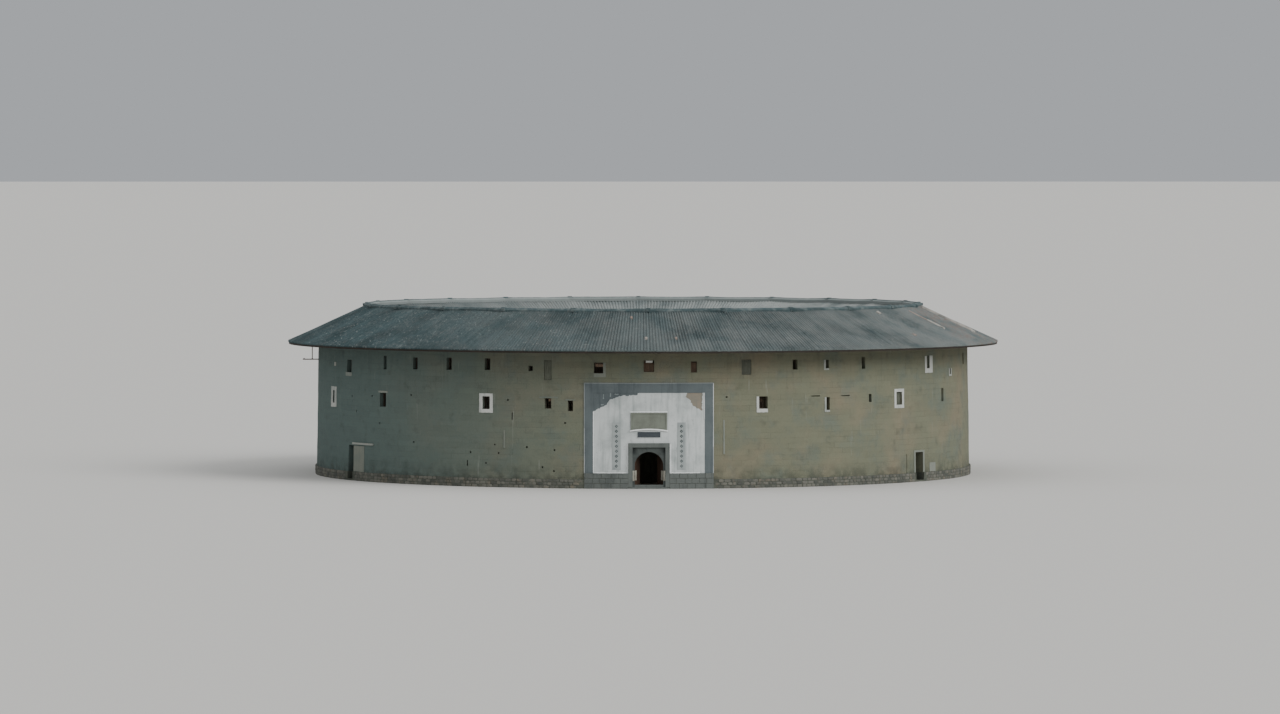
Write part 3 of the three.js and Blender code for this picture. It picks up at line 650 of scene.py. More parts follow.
def dressed_stone(name, shade, dark, darker_where=None):
    """Granite dressed with a point: fine speckle, broad grey clouds, dark wet stains and a pocked face."""
    stone = Finish(name, shade, 0.82, 0.35)
    stone.lay(dark, 1100, (0.4, 0.75), 0.55)
    stone.lay(to_linear("#959795"), 13, (0.56, 0.7), 0.18, detail=2)
    stone.lay(dark, 15, (0.58, 0.7), 0.35, detail=2)
    # Where a mask is given, the stone is drawn darker there.
    if darker_where:
        stone.lay(dark, 500, (0.1, 0.5), 0.9, mask=darker_where(stone))
    streaks = stone.node("VectorMath", [stone.place, (1, 1, 0.12)], operation="MULTIPLY")
    stone.lay(dark, 300, (0.52, 0.78), 0.6, place=streaks)
    pocks = stone.node("TexNoise", {"Vector": stone.place, "Scale": per(45), "Detail": 6.0})
    return stone.done(pocks, 0.7, 10)


def upper_corners(stone):
    """The two upper corners of the stone plate round the arch, where the stone is drawn darker."""
    axes = stone.node("SeparateXYZ", [stone.place]).node.outputs
    across = stone.node("Math", [axes["X"]], operation="ABSOLUTE")
    beside = stone.node("MapRange", [across, 0.42, 0.56])
    above = stone.node("MapRange", [axes["Z"], 1.26, 1.42])
    return stone.node("Math", [beside, above], operation="MULTIPLY")


def river_stone():
    """River stones in lime mortar, smooth and rounded by water: each stone has a shade of its own."""
    chosen = settings("wall")
    stone = Finish("river_stone", chosen.river_stone, 0.8, 0.35)
    tone = stone.node("Attribute", output="Fac", attribute_name="tone")
    stone.colour = stone.node("MixRGB", [tone, chosen.stain, chosen.river_stone])
    stone.lay(chosen.warm_earth_and_light, 700, (0.5, 0.75), 0.5)
    share = stone.lay(chosen.stain, 120, (0.5, 0.75), 0.5, detail=6)
    return stone.done(share, 0.5, 10)


def packed_clay(name, shade):
    """Lime and clay, packed behind stones or trodden into a floor: dull and sandy, and darker where damp."""
    chosen = settings("wall")
    clay = Finish(name, to_linear(shade), 0.95, 0.15)
    clay.lay(chosen.stain, 900, (0.35, 0.7), 0.7, detail=6)
    clay.lay(chosen.warm_earth_and_light, 60, (0.5, 0.7), 0.3)
    sand = clay.node("TexNoise", {"Vector": clay.place, "Scale": per(40), "Detail": 6.0})
    return clay.done(sand, 0.7, 12)


def fired_tile(name, rows, downhill, brown_share, light_from, lightened):
    """Unglazed clay tiles, fired grey: each has its own shade, with moss, lichen and newer brown ones, under
    painted shade on the left and painted light on the right.
    """
    chosen = settings("roof")
    tile = Finish(name, chosen.tile, 0.88, 0.2)
    radius, turn, _ = tile.round_place()
    lap = tile.node("Math", [radius, downhill * per(135) / math.cos(chosen.slope)], operation="MULTIPLY")
    course = tile.node("Math", [lap], operation="FLOOR")
    strip = tile.node("Math", [turn, rows / math.pi, 0.5], operation="MULTIPLY_ADD")
    row = tile.node("Math", [strip], operation="FLOOR")
    cells = [tile.node("CombineXYZ", [row, second]) for second in (course, 7.5)]
    chance, row_chance = [tile.node("TexWhiteNoise", [cell], noise_dimensions="2D") for cell in cells]
    shade = tile.node("MixRGB", [chance, chosen.dark_tile, chosen.tile])
    tile.colour = tile.node("MixRGB", [row_chance, shade, chosen.tile])
    tile.lay(chosen.dark_tile, 3800, (0.42, 0.68), 0.75)

    # Painted shade keeps the left side darker, and painted light pales the right side and the court slope.
    reach = EAVE_RADIUS * REAL
    across = tile.node("SeparateXYZ", [tile.place], "X")
    lit_side = tile.node("MapRange", [across, -0.75 * reach, reach, light_from, light_from + 0.85])
    tile.lay(lightened, 3000, (0.1, 0.7), 1.0, mask=lit_side)

    # Newer brown tiles lie scattered, and closer together round the right-hand end of the outer slope.
    from_end = tile.node("Math", [turn, math.radians(83)], operation="SUBTRACT")
    aside = tile.node("Math", [from_end], operation="ABSOLUTE")
    most = tile.node("MapRange", [aside, math.radians(21), math.radians(14), 0.12, brown_share])
    newer = tile.node("MapRange", [chance, 0.25, 0.8, 0.0, most])
    tile.lay(chosen.brown_tile, 1500, (0.4, 0.6), 0.9, mask=newer)
    rare = tile.node("MapRange", [chance, 0.95, 0.99])
    tile.lay(chosen.pale_tile, 2600, (0.3, 0.6), 0.4, mask=rare)
    tile.lay(chosen.pale_tile, 700, (0.55, 0.8), 0.35, detail=7)

    # Each tile lies on the one below it, and shades the strip just under its lower edge.
    step = tile.node("Math", [lap], operation="FRACT")
    shadow = tile.node("MapRange", [step, 0.02, 0.22, 0.75, 0.0])
    tile.colour = tile.node("MixRGB", [shadow, tile.colour, to_linear("#161c1c")])
    skew = tile.node("Math", [chance, 0.35, step], operation="MULTIPLY_ADD")
    return tile.done(skew, 1.0, 26)


def ridge_tile():
    """Tiles bedded in lime mortar along the ridge: grey tile edges, and a bleached side to the court."""
    chosen = settings("roof")
    tile = Finish("ridge_tile", chosen.tile, 0.88, 0.3)
    radius, _, height = tile.round_place()
    middle, top = chosen.ridge_radius, float(roof_top(chosen.ridge_radius))
    court_side = tile.node("MapRange", [radius, (middle - 0.04) * REAL, (middle - 0.12) * REAL])
    under_cap = tile.node("MapRange", [height, (top + 0.11) * REAL, (top + 0.08) * REAL])
    sheltered = tile.node("Math", [court_side, under_cap], operation="MULTIPLY")
    tile.lay(chosen.mortar, 400, (0.4, 0.65), 0.6, detail=6)
    tile.lay(chosen.dark_tile, 1800, (0.42, 0.7), 0.7)
    tile.lay(to_linear("#9aa09d"), 700, (0.05, 0.35), 0.7, mask=sheltered)
    flat = tile.node("VectorMath", [tile.place, (1, 1, 4)], operation="MULTIPLY")
    edges = tile.node("TexNoise", {"Vector": flat, "Scale": per(90), "Detail": 4.0})
    return tile.done(edges, 0.7, 20)


def sawn_fir(name, pale, dark, along, toned=True):
    """Fir, sawn or hewn and left bare: silvered grain lines that run along each timber, and darker knots."""
    fir = Finish(name, pale, 0.8, 0.25)
    radius, turn, height = fir.round_place()
    arc = fir.node("Math", [turn, 10.0], operation="MULTIPLY")
    polar = fir.node("CombineXYZ", [radius, arc, height])
    place, squeeze = {
        "upright": (fir.place, (1, 1, 0.06)), "round": (polar, (1, 0.06, 1)),
        "outwards": (polar, (0.06, 1, 1)),
    }[along]
    grain = fir.node("VectorMath", [place, squeeze], operation="MULTIPLY")
    fir.lay(dark, 38, (0.35, 0.7), 0.85, detail=6, place=grain)
    fir.lay(dark, 1300, (0.4, 0.7), 0.6)
    if toned:
        tone = fir.node("Attribute", output="Fac", attribute_name="tone")
        lightness = fir.node("MapRange", [tone, 0.0, 1.0, 0.72, 1.28])
        fir.colour = fir.node("MixRGB", [1.0, fir.colour, lightness], blend_type="MULTIPLY")
    lines = fir.node("TexNoise", {"Vector": grain, "Scale": per(30), "Detail": 6.0})
    return fir.done(lines, 0.5, 6)


def gallery_fir(name, along, toned=True):
    """Sawn fir in the galleries' colours. The frame's own nodes have no tones."""
    chosen = settings("gallery")
    return sawn_fir(name, chosen.fir, chosen.fir_dark, along, toned)


def finish_node(name, material):
    """Gives a node of the frame its material."""
    NODES[name].data.materials[0] = material


# The earth wall.


class WallFace:
    """The grid of one face of the wall: a radius, an angle and a height for each point."""

    def __init__(self, heights, radii, columns):
        self.height = np.repeat(np.array(heights, float)[:, None], columns, 1)
        self.radius = np.repeat(np.array(radii, float)[:, None], columns, 1)
        self.degrees = np.repeat(np.arange(columns)[None, :] * 360 / columns, len(heights), 0)
        self.open = np.zeros((len(heights) - 1, columns), bool)

    def cut(self, cut, rows, columns):
        """Moves a block of points onto the edges of a cut, and opens the cells between them."""
        angle, width, low, high = cut
        block = np.ix_(rows, columns)
        half = np.degrees(np.arcsin(width / 2 / self.radius[block]))
        self.degrees[block] = angle + half * np.linspace(-1, 1, len(columns))
        self.height[rows[0], columns] = low
        self.height[rows[-1], columns] = high
        self.open[np.ix_(rows[:-1], columns[:-1])] = True

    def points(self):
        return at(self.radius, self.degrees, self.height)


class WallGrid:
    """The outer and inner faces of the earth wall, with one numbering of rows and columns."""

    COLUMNS = 720
    FOOT = FOOTING_HEIGHT - 0.03
    LEDGE_SHIFT = 0.03

    # Waves of the swelling face: how many round the building, and how fast they run upwards.
    WAVES = ((7, 0.4), (16, 0.9), (31, 1.3), (57, 2.1), (90, 3.0))
    FLAT_TO, SWELLS_OVER = 12, 4

    def __init__(self, row_height):
        outer_top, inner_top = (
            float(roof_top(radius)) - DECK_DROP for radius in (settings("wall").top_radius, WALL_INSIDES[-1]))
        outer_heights, inner_heights, inner_radii = [], [], []
        levels = [self.FOOT, *LEDGES]
        for storey in STOREYS:
            last = storey == STOREY_COUNT - 1
            low = levels[storey]
            outer_high = outer_top if last else levels[storey + 1] - self.LEDGE_SHIFT
            inner_high = inner_top if last else levels[storey + 1]
            count = round((outer_high - low) / row_height)
            outer_low = low + (self.LEDGE_SHIFT if storey else 0)
            outer_heights += np.linspace(outer_low, outer_high, count + 1).tolist()
            inner_heights += np.linspace(low, inner_high, count + 1).tolist()
            inner_radii += [WALL_INSIDES[storey] + FLATS_TO_ROUND] * (count + 1)
        self.outer = WallFace(outer_heights, wall_radius(np.array(outer_heights)), self.COLUMNS)
        self.inner = WallFace(inner_heights, inner_radii, self.COLUMNS)
        self.rows = len(outer_heights)
        self.cuts = []

    def block(self, cut):
        """The rows and columns whose points lie nearest to a cut's edges."""
        angle, width, low, high = cut
        heights = self.outer.height[:, self.COLUMNS // 2]
        half = math.degrees(math.asin(width / 2 / settings("wall").foot_radius))
        step = 360 / self.COLUMNS
        first = round((angle - half) / step)
        last = max(first + 1, round((angle + half) / step))
        bottom = int(np.abs(heights - low).argmin())
        top = max(bottom + 1, int(np.abs(heights - high).argmin()))
        return np.arange(bottom, top + 1), np.arange(first, last + 1) % self.COLUMNS

    def cut(self, cut, depth=None):
        """Opens the wall, right through or to a depth."""
        rows, columns = self.block(cut)
        for face in (self.outer, self.inner) if depth is None else (self.outer,):
            face.cut(cut, rows, columns)
        self.cuts.append((rows, columns, depth))

    def swell(self, amount):
        """Gives the outer face its slow swells and dips, away from the gate front."""
        rng = np.random.default_rng(4)
        turn = np.radians(self.outer.degrees)
        wave = np.zeros_like(turn)
        for around, upwards in self.WAVES:
            first, second = rng.uniform(0, 2 * math.pi, 2)
            wave += np.sin(around * turn + first) * np.sin(upwards * self.outer.height + second)
        away = np.degrees(np.abs(np.arctan2(np.sin(turn), np.cos(turn))))
        swelling = np.clip((away - self.FLAT_TO) / self.SWELLS_OVER, 0, 1)
        self.outer.radius = wall_radius(self.outer.height) + amount / 2 * wave * swelling

    def shape(self):
        """Both faces, the sides of every cut, and the wall's top and foot."""
        made = Shape()
        size = self.rows * self.COLUMNS
        cells = grid_faces(self.rows, self.COLUMNS, join_columns=True)
        faces = cells[~self.outer.open.reshape(-1)].tolist()
        faces += (cells[~self.inner.open.reshape(-1)][:, ::-1] + size).tolist()
        number = np.arange(size).reshape(self.rows, self.COLUMNS)
        for rows, columns, depth in self.cuts:
            if depth is None:
                faces += self.sides(number, number + size, rows, columns, open_foot=rows[0] == 0)
        whole_foot = [column for column in range(self.COLUMNS) if not self.outer.open[0, column]]
        for row, kept in ((0, whole_foot), (self.rows - 1, range(self.COLUMNS))):
            for column in kept:
                near, far = number[row, column], number[row, (column + 1) % self.COLUMNS]
                faces.append((near, far, far + size, near + size))
        made.add([self.outer.points(), self.inner.points()], faces)
        for rows, columns, depth in self.cuts:
            if depth is not None:
                self.add_recess(made, number, rows, columns, depth)
        return made

    def sides(self, front, back, rows, columns, open_foot):
        """Faces that join the edges of a cut in the front numbering to those in the back one."""
        sides = []
        for column in (columns[0], columns[-1]):
            for low, high in zip(rows, rows[1:]):
                sides.append((front[low, column], front[high, column], back[high, column], back[low, column]))
        for row in rows[-1:] if open_foot else (rows[0], rows[-1]):
            for near, far in zip(columns, columns[1:]):
                sides.append((front[row, near], front[row, far], back[row, far], back[row, near]))
        return [tuple(int(index) for index in side) for side in sides]

    def add_recess(self, made, number, rows, columns, depth):
        """The sides and back of a small hole that doesn't go through."""
        block = np.ix_(rows, columns)
        deep = at(self.outer.radius[block] - depth, self.outer.degrees[block], self.outer.height[block])
        start, count = made.count, len(rows) * len(columns)
        back = np.full(number.shape, -1)
        back[block] = np.arange(start, start + count).reshape(len(rows), len(columns))
        faces = self.sides(number, back, rows, columns, open_foot=False)
        faces += (grid_faces(len(rows), len(columns)) + start).tolist()
        made.add(deep, [tuple(index - start for index in face) for face in faces])


class TULOU_OT_earth_wall(bpy.types.Operator):
    """Build the rammed earth wall with its windows, doorways, ledges and small holes"""

    bl_idname = "tulou.earth_wall"
    bl_label = "Earth wall"

    def execute(self, context):
        chosen = settings("wall")
        grid = WallGrid(chosen.row_height)
        for window in (*FRAMED_WINDOWS, GATE_WINDOW, BOARDED_WINDOW, RACK_WINDOW):
            grid.cut(window)
        for angle, width, head in (RIGHT_DOORWAY, LEFT_DOORWAY, GATE_BAY):
            grid.cut((angle, width, grid.FOOT, head))
        for angle, middle, width, height in SMALL_HOLES:
            grid.cut((angle, width, middle - height / 2, middle + height / 2), HOLE_DEPTH)
        grid.swell(chosen.relief)
        segments = [name for name in NODES if name.startswith("wall_")]
        grid.shape().piece("earth_wall", rammed_earth(), "earth", replaces=segments, smooth=True)
        return {"FINISHED"}


class TULOU_OT_footing(bpy.types.Operator):
    """Lay the river stones of the footing round the foot of the wall"""

    bl_idname = "tulou.footing"
    bl_label = "Footing"

    COURSES, COURSE_SHIFT = 3, 0.4
    STONE_DEPTH, PROUD, PAST_TOP = 0.2, 0.05, 0.02
    ROUNDING, UNEVEN, TILT = 0.55, 0.07, 0.05
    OVERLAP = 1.04

    # From the least to the most: widths and heights as shares of the usual ones, set-backs and tones.
    WIDTHS, HEIGHTS, SET_BACKS, TONES = (0.7, 1.35), (0.98, 1.1), (-0.015, 0.01), (0.25, 1.0)

    BLOCK = [point for point in product((-1, 0, 1), repeat=3) if any(point)]

    def block_faces(self):
        """Faces of a block with a point in the middle of each edge and side."""
        number = {point: index for index, point in enumerate(self.BLOCK)}
        faces = []
        for axis, side, first, second in product(range(3), (-1, 1), (-1, 0), (-1, 0)):
            corners = [(first, second), (first + 1, second), (first + 1, second + 1), (first, second + 1)]
            faces.append(tuple(number[(*pair[:axis], side, *pair[axis:])] for pair in corners))
        return faces

    def block(self, size, rng):
        """Points of a stone with worn, rounded corners, about its own centre."""
        points = np.array(self.BLOCK, float)
        points /= np.linalg.norm(points, axis=1)[:, None] ** self.ROUNDING
        points *= 1 + rng.uniform(-self.UNEVEN, self.UNEVEN, points.shape)
        return points * np.array(size) / 2

    def execute(self, context):
        chosen = settings("wall")
        rng = np.random.default_rng(11)
        faces = self.block_faces()
        stones = Shape()
        height = FOOTING_HEIGHT / self.COURSES
        gaps = [(0, math.degrees(math.asin(BORDER_HALF / FOOTING_RADIUS)))]
        for angle, width, _ in (RIGHT_DOORWAY, LEFT_DOORWAY):
            gaps.append((angle, math.degrees(width / 2 / FOOTING_RADIUS)))
        for course in range(self.COURSES):
            angle = -180 + course * self.COURSE_SHIFT
            while angle < 180 + course * self.COURSE_SHIFT:
                width = chosen.stone_width * rng.uniform(*self.WIDTHS)
                span = math.degrees(width / FOOTING_RADIUS)
                middle = angle + span / 2
                angle += span
                if any(abs(middle - gap) < half + span / 2 for gap, half in gaps):
                    continue
                size = width * self.OVERLAP, self.STONE_DEPTH, height * rng.uniform(*self.HEIGHTS)
                points = self.block(size, rng)
                points[:, 2] += points[:, 0] * rng.uniform(-self.TILT, self.TILT) + height * (course + 0.5)
                points[:, 2] = np.clip(points[:, 2], 0.0, FOOTING_HEIGHT + self.PAST_TOP)
                points[:, 1] -= FOOTING_RADIUS + self.PROUD - self.STONE_DEPTH / 2
                points[:, 1] -= rng.uniform(*self.SET_BACKS)
                stones.add(turned(points, middle), faces, rng.uniform(*self.TONES))
        stones.piece("footing_stones", river_stone(), "rubble", smooth=True)
        mortar = packed_clay("clay_mortar", "#5b5f56")
        for name in FOOTINGS:
            finish_node(name, mortar)
        finish_node("ground_floor", packed_clay("trodden_clay", "#7b7364"))
        return {"FINISHED"}


# Windows and whitewash.


class TULOU_OT_windows(bpy.types.Operator):
    """Fit the timber frames and bars in the windows, and the board shutters that stand closed"""

    bl_idname = "tulou.windows"
    bl_label = "Windows"

    SET_BACK, DEPTH, STILE = 0.34, 0.09, 0.06
    BAR, BAR_GAP = 0.032, 0.13
    BOARD, BOARD_DEPTH, PLAY, GAP = 0.16, 0.035, 0.01, 0.006
    LOW_RAIL, HIGH_RAIL, RAIL, RAIL_PROUD = 0.12, 0.18, 0.07, 0.02
    PALEST_BROWN, EDGE = 0.3, 0.006

    def add_frame(self, shape, window):
        angle, width, low, high = window
        front = self.SET_BACK - float(wall_radius((low + high) / 2))
        half, side = width / 2, self.STILE
        for left, right, bottom, top in (
            (-half, side - half, low, high), (half - side, half, low, high),
            (side - half, half - side, low, low + side), (side - half, half - side, high - side, high),
        ):
            shape.box((left, front, bottom), (right, front + self.DEPTH, top), angle)
        count = max(1, round((width - 2 * side) / self.BAR_GAP) - 1)
        middle, bar = front + self.DEPTH / 2, self.BAR / 2
        for place in np.linspace(side - half, half - side, count + 2)[1:-1]:
            start, end = (place - bar, middle - bar, low + side), (place + bar, middle + bar, high - side)
            shape.box(start, end, angle, 0.6)

    def add_shutter(self, shape, window, top, set_back, tone):
        angle, width, low, _ = window
        front = set_back - float(wall_radius(low))
        boards = max(3, round(width / self.BOARD))
        half = width / 2 - self.PLAY
        edges = np.linspace(-half, half, boards + 1)
        for number, (left, right) in enumerate(zip(edges, edges[1:])):
            high = (right - self.GAP, front + self.BOARD_DEPTH, top)
            shape.box((left, front, low + self.PLAY), high, angle, tone + 0.05 * (number % 3))
        half -= self.PLAY
        for rail in (low + self.LOW_RAIL, top - self.HIGH_RAIL):
            start, end = (-half, front - self.RAIL_PROUD, rail), (half, front + self.PLAY, rail + self.RAIL)
            shape.box(start, end, angle, tone)

    def execute(self, context):
        frames = Shape()
        for window in FRAMED_WINDOWS:
            self.add_frame(frames, window)
        silvered, brown = Shape(), Shape()
        for window, top, set_back, tone in SHUTTERS:
            self.add_shutter(brown if tone < self.PALEST_BROWN else silvered, window, top, set_back, tone)
        for shape, piece, fir, pale, dark, edge in (
            (frames, "window_frames", "window_fir", "#51463b", "#2f2822", 0),
            (silvered, "silvered_shutters", "silvered_fir", "#63665a", "#4b4d44", self.EDGE),
            (brown, "brown_shutters", "brown_fir", "#6d5a49", "#44382f", self.EDGE),
        ):
            material = sawn_fir(fir, to_linear(pale), to_linear(dark), "upright")
            shape.piece(piece, material, "timber", edge=edge)
        return {"FINISHED"}


class TULOU_OT_whitewash(bpy.types.Operator):
    """Plaster the window surrounds, sills and door surrounds that are whitewashed"""

    bl_idname = "tulou.whitewash"
    bl_label = "Whitewashed surrounds"

    PROUD, SUNK, PAST = 0.034, -0.04, 0.1
    PATCH_SEEDS = 40
    LINTEL_PROUD, LINTEL_TONE = 0.1, 0.45

    # The white board at the head of the window over the gate: two corners, seen from the front. It is partly
    # painted light, for the sky seen through the head of that window.
    HEAD_BOARD = (-0.24, 9.6), (0.28, 9.76)
    HEAD_BOARD_BACK, HEAD_BOARD_DEPTH = 0.12, 0.04

    def execute(self, context):
        chosen = settings("wall")
        coats = Shape()
        for number, ((angle, width, low, high), left, right, below, above, tone) in enumerate(SURROUNDS):
            half = width / 2
            outline = ragged_loop(rectangle(-half - left, half + right, low - below, high + above), number)
            past = [self.PAST * (not margin) for margin in (left, right, below, above)]
            hole = rectangle(-half - past[0], half + past[1], low - past[2], high + past[3])
            coats.skin(outline, self.PROUD, [hole], self.SUNK, angle, tone)
        for number, (angle, left, right, low, high, tone) in enumerate(WHITE_PATCHES):
            outline = ragged_loop(rectangle(left, right, low, high), self.PATCH_SEEDS + number)
            coats.skin(outline, self.PROUD, (), self.SUNK, angle, tone)
        angle, half, low, high = LEFT_LINTEL
        coats.skin(rectangle(-half, half, low, high), self.LINTEL_PROUD, angle=angle, tone=self.LINTEL_TONE)
        (left, low), (right, high) = self.HEAD_BOARD
        front = self.HEAD_BOARD_BACK - float(wall_radius(GATE_WINDOW[3]))
        coats.box((left, front, low), (right, front + self.HEAD_BOARD_DEPTH, high), tone=1.0)
        white = lime_coat("worn_limewash", chosen.lime, chosen.grey_earth_and_shade, 0.4, worn_to=to_linear("#65695c"))
        coats.piece("white_surrounds", white, "plaster")
        return {"FINISHED"}


# The roof.


class TULOU_OT_tiles(bpy.types.Operator):
    """Lay the rows of cover and pan tiles on both slopes"""

    bl_idname = "tulou.tiles"
    bl_label = "Roof tiles"

    # Height of the tiles across one row, from the middle of a pan tile over a cover tile.
    PROFILE = np.array([-1, -0.7, 0.15, 0.8, 1, 0.8, 0.15, -0.7])
    STATIONS = 11
    DRIFT, END_DROP, LOOSEST = 0.02, 0.02, 0.6
    SAG, EDGE_DEPTH = 0.02, 0.03
    FROM_RIDGE = 0.01

    # How the sag varies round the roof: height, waves round the building, and shift down the slope.
    SAG_WAVES = [(0.012, 5, 3), (0.008, 23, 9)]

    def slope(self, ridge, eave, rows, seed):
        """One slope of the roof as a closed shell from the ridge to an eave."""
        roll_height = settings("roof").roll
        rng = np.random.default_rng(seed)
        samples = rows * len(self.PROFILE)
        degrees = np.arange(samples) * 360 / samples
        turn = np.radians(degrees)
        roll = np.tile(self.PROFILE, rows) * roll_height
        drift = np.repeat(rng.uniform(-self.DRIFT, self.DRIFT, rows), len(self.PROFILE))
        loose = np.repeat(rng.uniform(self.LOOSEST, 1.0, rows), len(self.PROFILE))
        direction = 1 if eave > ridge else -1
        rings, heights = [], []
        for share in np.linspace(0, 1, self.STATIONS):
            radius = ridge + (eave - ridge) * share
            waves = (high * np.sin(around * turn + shift * share) for high, around, shift in self.SAG_WAVES)
            sag = sum(waves, self.SAG)
            rings.append(np.full(samples, radius) + direction * (drift - self.END_DROP) * share ** 3)
            heights.append(roof_top(radius) - roll_height - sag * math.sin(math.pi * share) + roll * loose)
        for ring in (rings[-1] - direction * self.EDGE_DEPTH, np.full(samples, ridge)):
            rings.append(ring)
            heights.append(roof_top(ring) - DECK_DROP)
        shell = Shape()
        points = at(np.array(rings), degrees[None, :], np.array(heights))
        shell.add(points, grid_faces(len(rings), samples, join_rows=True, join_columns=True))
        return shell

    def execute(self, context):
        chosen = settings("roof")
        outer = self.slope(chosen.ridge_radius + self.FROM_RIDGE, EAVE_RADIUS, chosen.outer_rows, seed=3)
        # Painted light pales the outer slope towards the right.
        fired = fired_tile("outer_fired_tile", chosen.outer_rows, 1, 0.9, 0.0, chosen.pale_tile)
        outer.piece("outer_roof_tiles", fired, "tile", replaces=["roof_outer_slope"], smooth=True)
        court = self.slope(
            chosen.ridge_radius - self.FROM_RIDGE, chosen.court_eave_radius, chosen.court_rows, seed=5)
        # The court slope gets more painted light all over.
        lightened = fired_tile("court_fired_tile", chosen.court_rows, -1, 0.15, 0.42, to_linear("#a3a8a5"))
        court.piece("court_roof_tiles", lightened, "tile", replaces=["roof_courtyard_slope"], smooth=True)
        return {"FINISHED"}


class TULOU_OT_ridge(bpy.types.Operator):
    """Set the ridge in straight lengths with raised joints, and the ribs and dabs of mortar on the slope, one
    of them a painted highlight
    """

    bl_idname = "tulou.ridge"
    bl_label = "Ridge"

    # The right half of the ridge's section: distance from the middle, and height over the slopes' top.
    SECTION = [(0.27, -0.2), (0.29, 0.02), (0.26, 0.075), (0.17, 0.085), (0.15, 0.135), (0.06, 0.175)]
    STEPS = 8
    DIP, UNEVEN = 0.045, 0.02

    # The two boxes of a joint: half width, half length, bottom and top.
    JOINT = ((0.2, 0.31, -0.1, 0.1), (0.17, 0.13, 0.1, 0.195))

    # Ribs and dabs of mortar on the slope: angle, radius of both ends, half width, height and whiteness. The
    # tall pale rib at 79.4 and 78.4 degrees is a painted highlight: it stands for the sunlit rim of the
    # slope.
    MORTAR_AND_HIGHLIGHT = [
        (65.7, 22.8, 24.33, 0.1, 0.06, 0.3), (65.7, 24.33, 25.8, 0.12, 0.08, 1.0),
        (79.4, 22.43, 26.5, 0.2, 0.16, 0.8), (78.4, 26.5, 26.8, 0.2, 0.16, 1.0),
        (-0.5, 26.35, 26.6, 0.11, 0.06, 0.6), (4.45, 26.35, 26.55, 0.1, 0.06, 0.2),
        (-3.2, 23.05, 23.35, 0.09, 0.06, 0.1), (52.5, 22.75, 23.05, 0.17, 0.1, 0.9),
        (51.7, 26.35, 26.6, 0.2, 0.06, 0.3),
    ]
    MORTAR_STATIONS, MORTAR_ROOT, MORTAR_SUNK = 13, -0.14, 0.03
    EDGE = 0.02

    def execute(self, context):
        chosen = settings("roof")
        radius, top = chosen.ridge_radius, float(roof_top(chosen.ridge_radius))
        rng = np.random.default_rng(8)
        section = [*self.SECTION, *[(-across, height) for across, height in reversed(self.SECTION)]]
        shares = np.linspace(0, 1, self.STEPS + 1)
        flat = 360 / chosen.ridge_flats
        ridge = Shape()
        for start in np.arange(chosen.ridge_flats) * flat:
            corners = at(radius, np.array([start, start + flat]), top)
            dip = rng.uniform(0.0, self.DIP) * np.sin(math.pi * shares)
            dip += rng.uniform(0, self.UNEVEN, len(shares))
            middles = corners[0] + (corners[1] - corners[0]) * shares[:, None]
            outward = at(1.0, start + flat / 2, 0.0)
            points = [
                middle + outward * across + np.array((0, 0, height - sink))
                for middle, sink in zip(middles, dip) for across, height in section]
            ridge.add(points, bar_faces(len(shares), len(section)))
            for width, length, low, high in self.JOINT:
                ridge.box((-width, -radius - length, top + low), (width, length - radius, top + high), start)
        ridge.piece("ridge_tiles", ridge_tile(), "tile", replaces=["roof_ridge"], edge=self.EDGE)

        ribs_and_highlight = Shape()
        for angle, start, end, half, height, tone in self.MORTAR_AND_HIGHLIGHT:
            radii = np.linspace(start, end, self.MORTAR_STATIONS)
            side = [(half, self.MORTAR_ROOT), (half, height / 4), (half / 2, height)]
            profile = [*[(-across, rise) for across, rise in side], *reversed(side)]
            points = [
                (across, -radius, float(roof_top(radius)) + rise - self.MORTAR_SUNK)
                for radius in radii for across, rise in profile]
            ribs_and_highlight.add(turned(points, angle), bar_faces(len(radii), len(profile)), tone)
        # The palest rib is a painted highlight, drawn in this mortar.
        pale, bare = to_linear("#a8a59d"), to_linear("#8d7a70")
        mortar = lime_coat("rib_mortar_and_highlight", pale, chosen.dark_tile, 0.6, worn_to=bare)
        ribs_and_highlight.piece("roof_ribs_and_highlight", mortar, "tile", edge=self.EDGE)
        return {"FINISHED"}


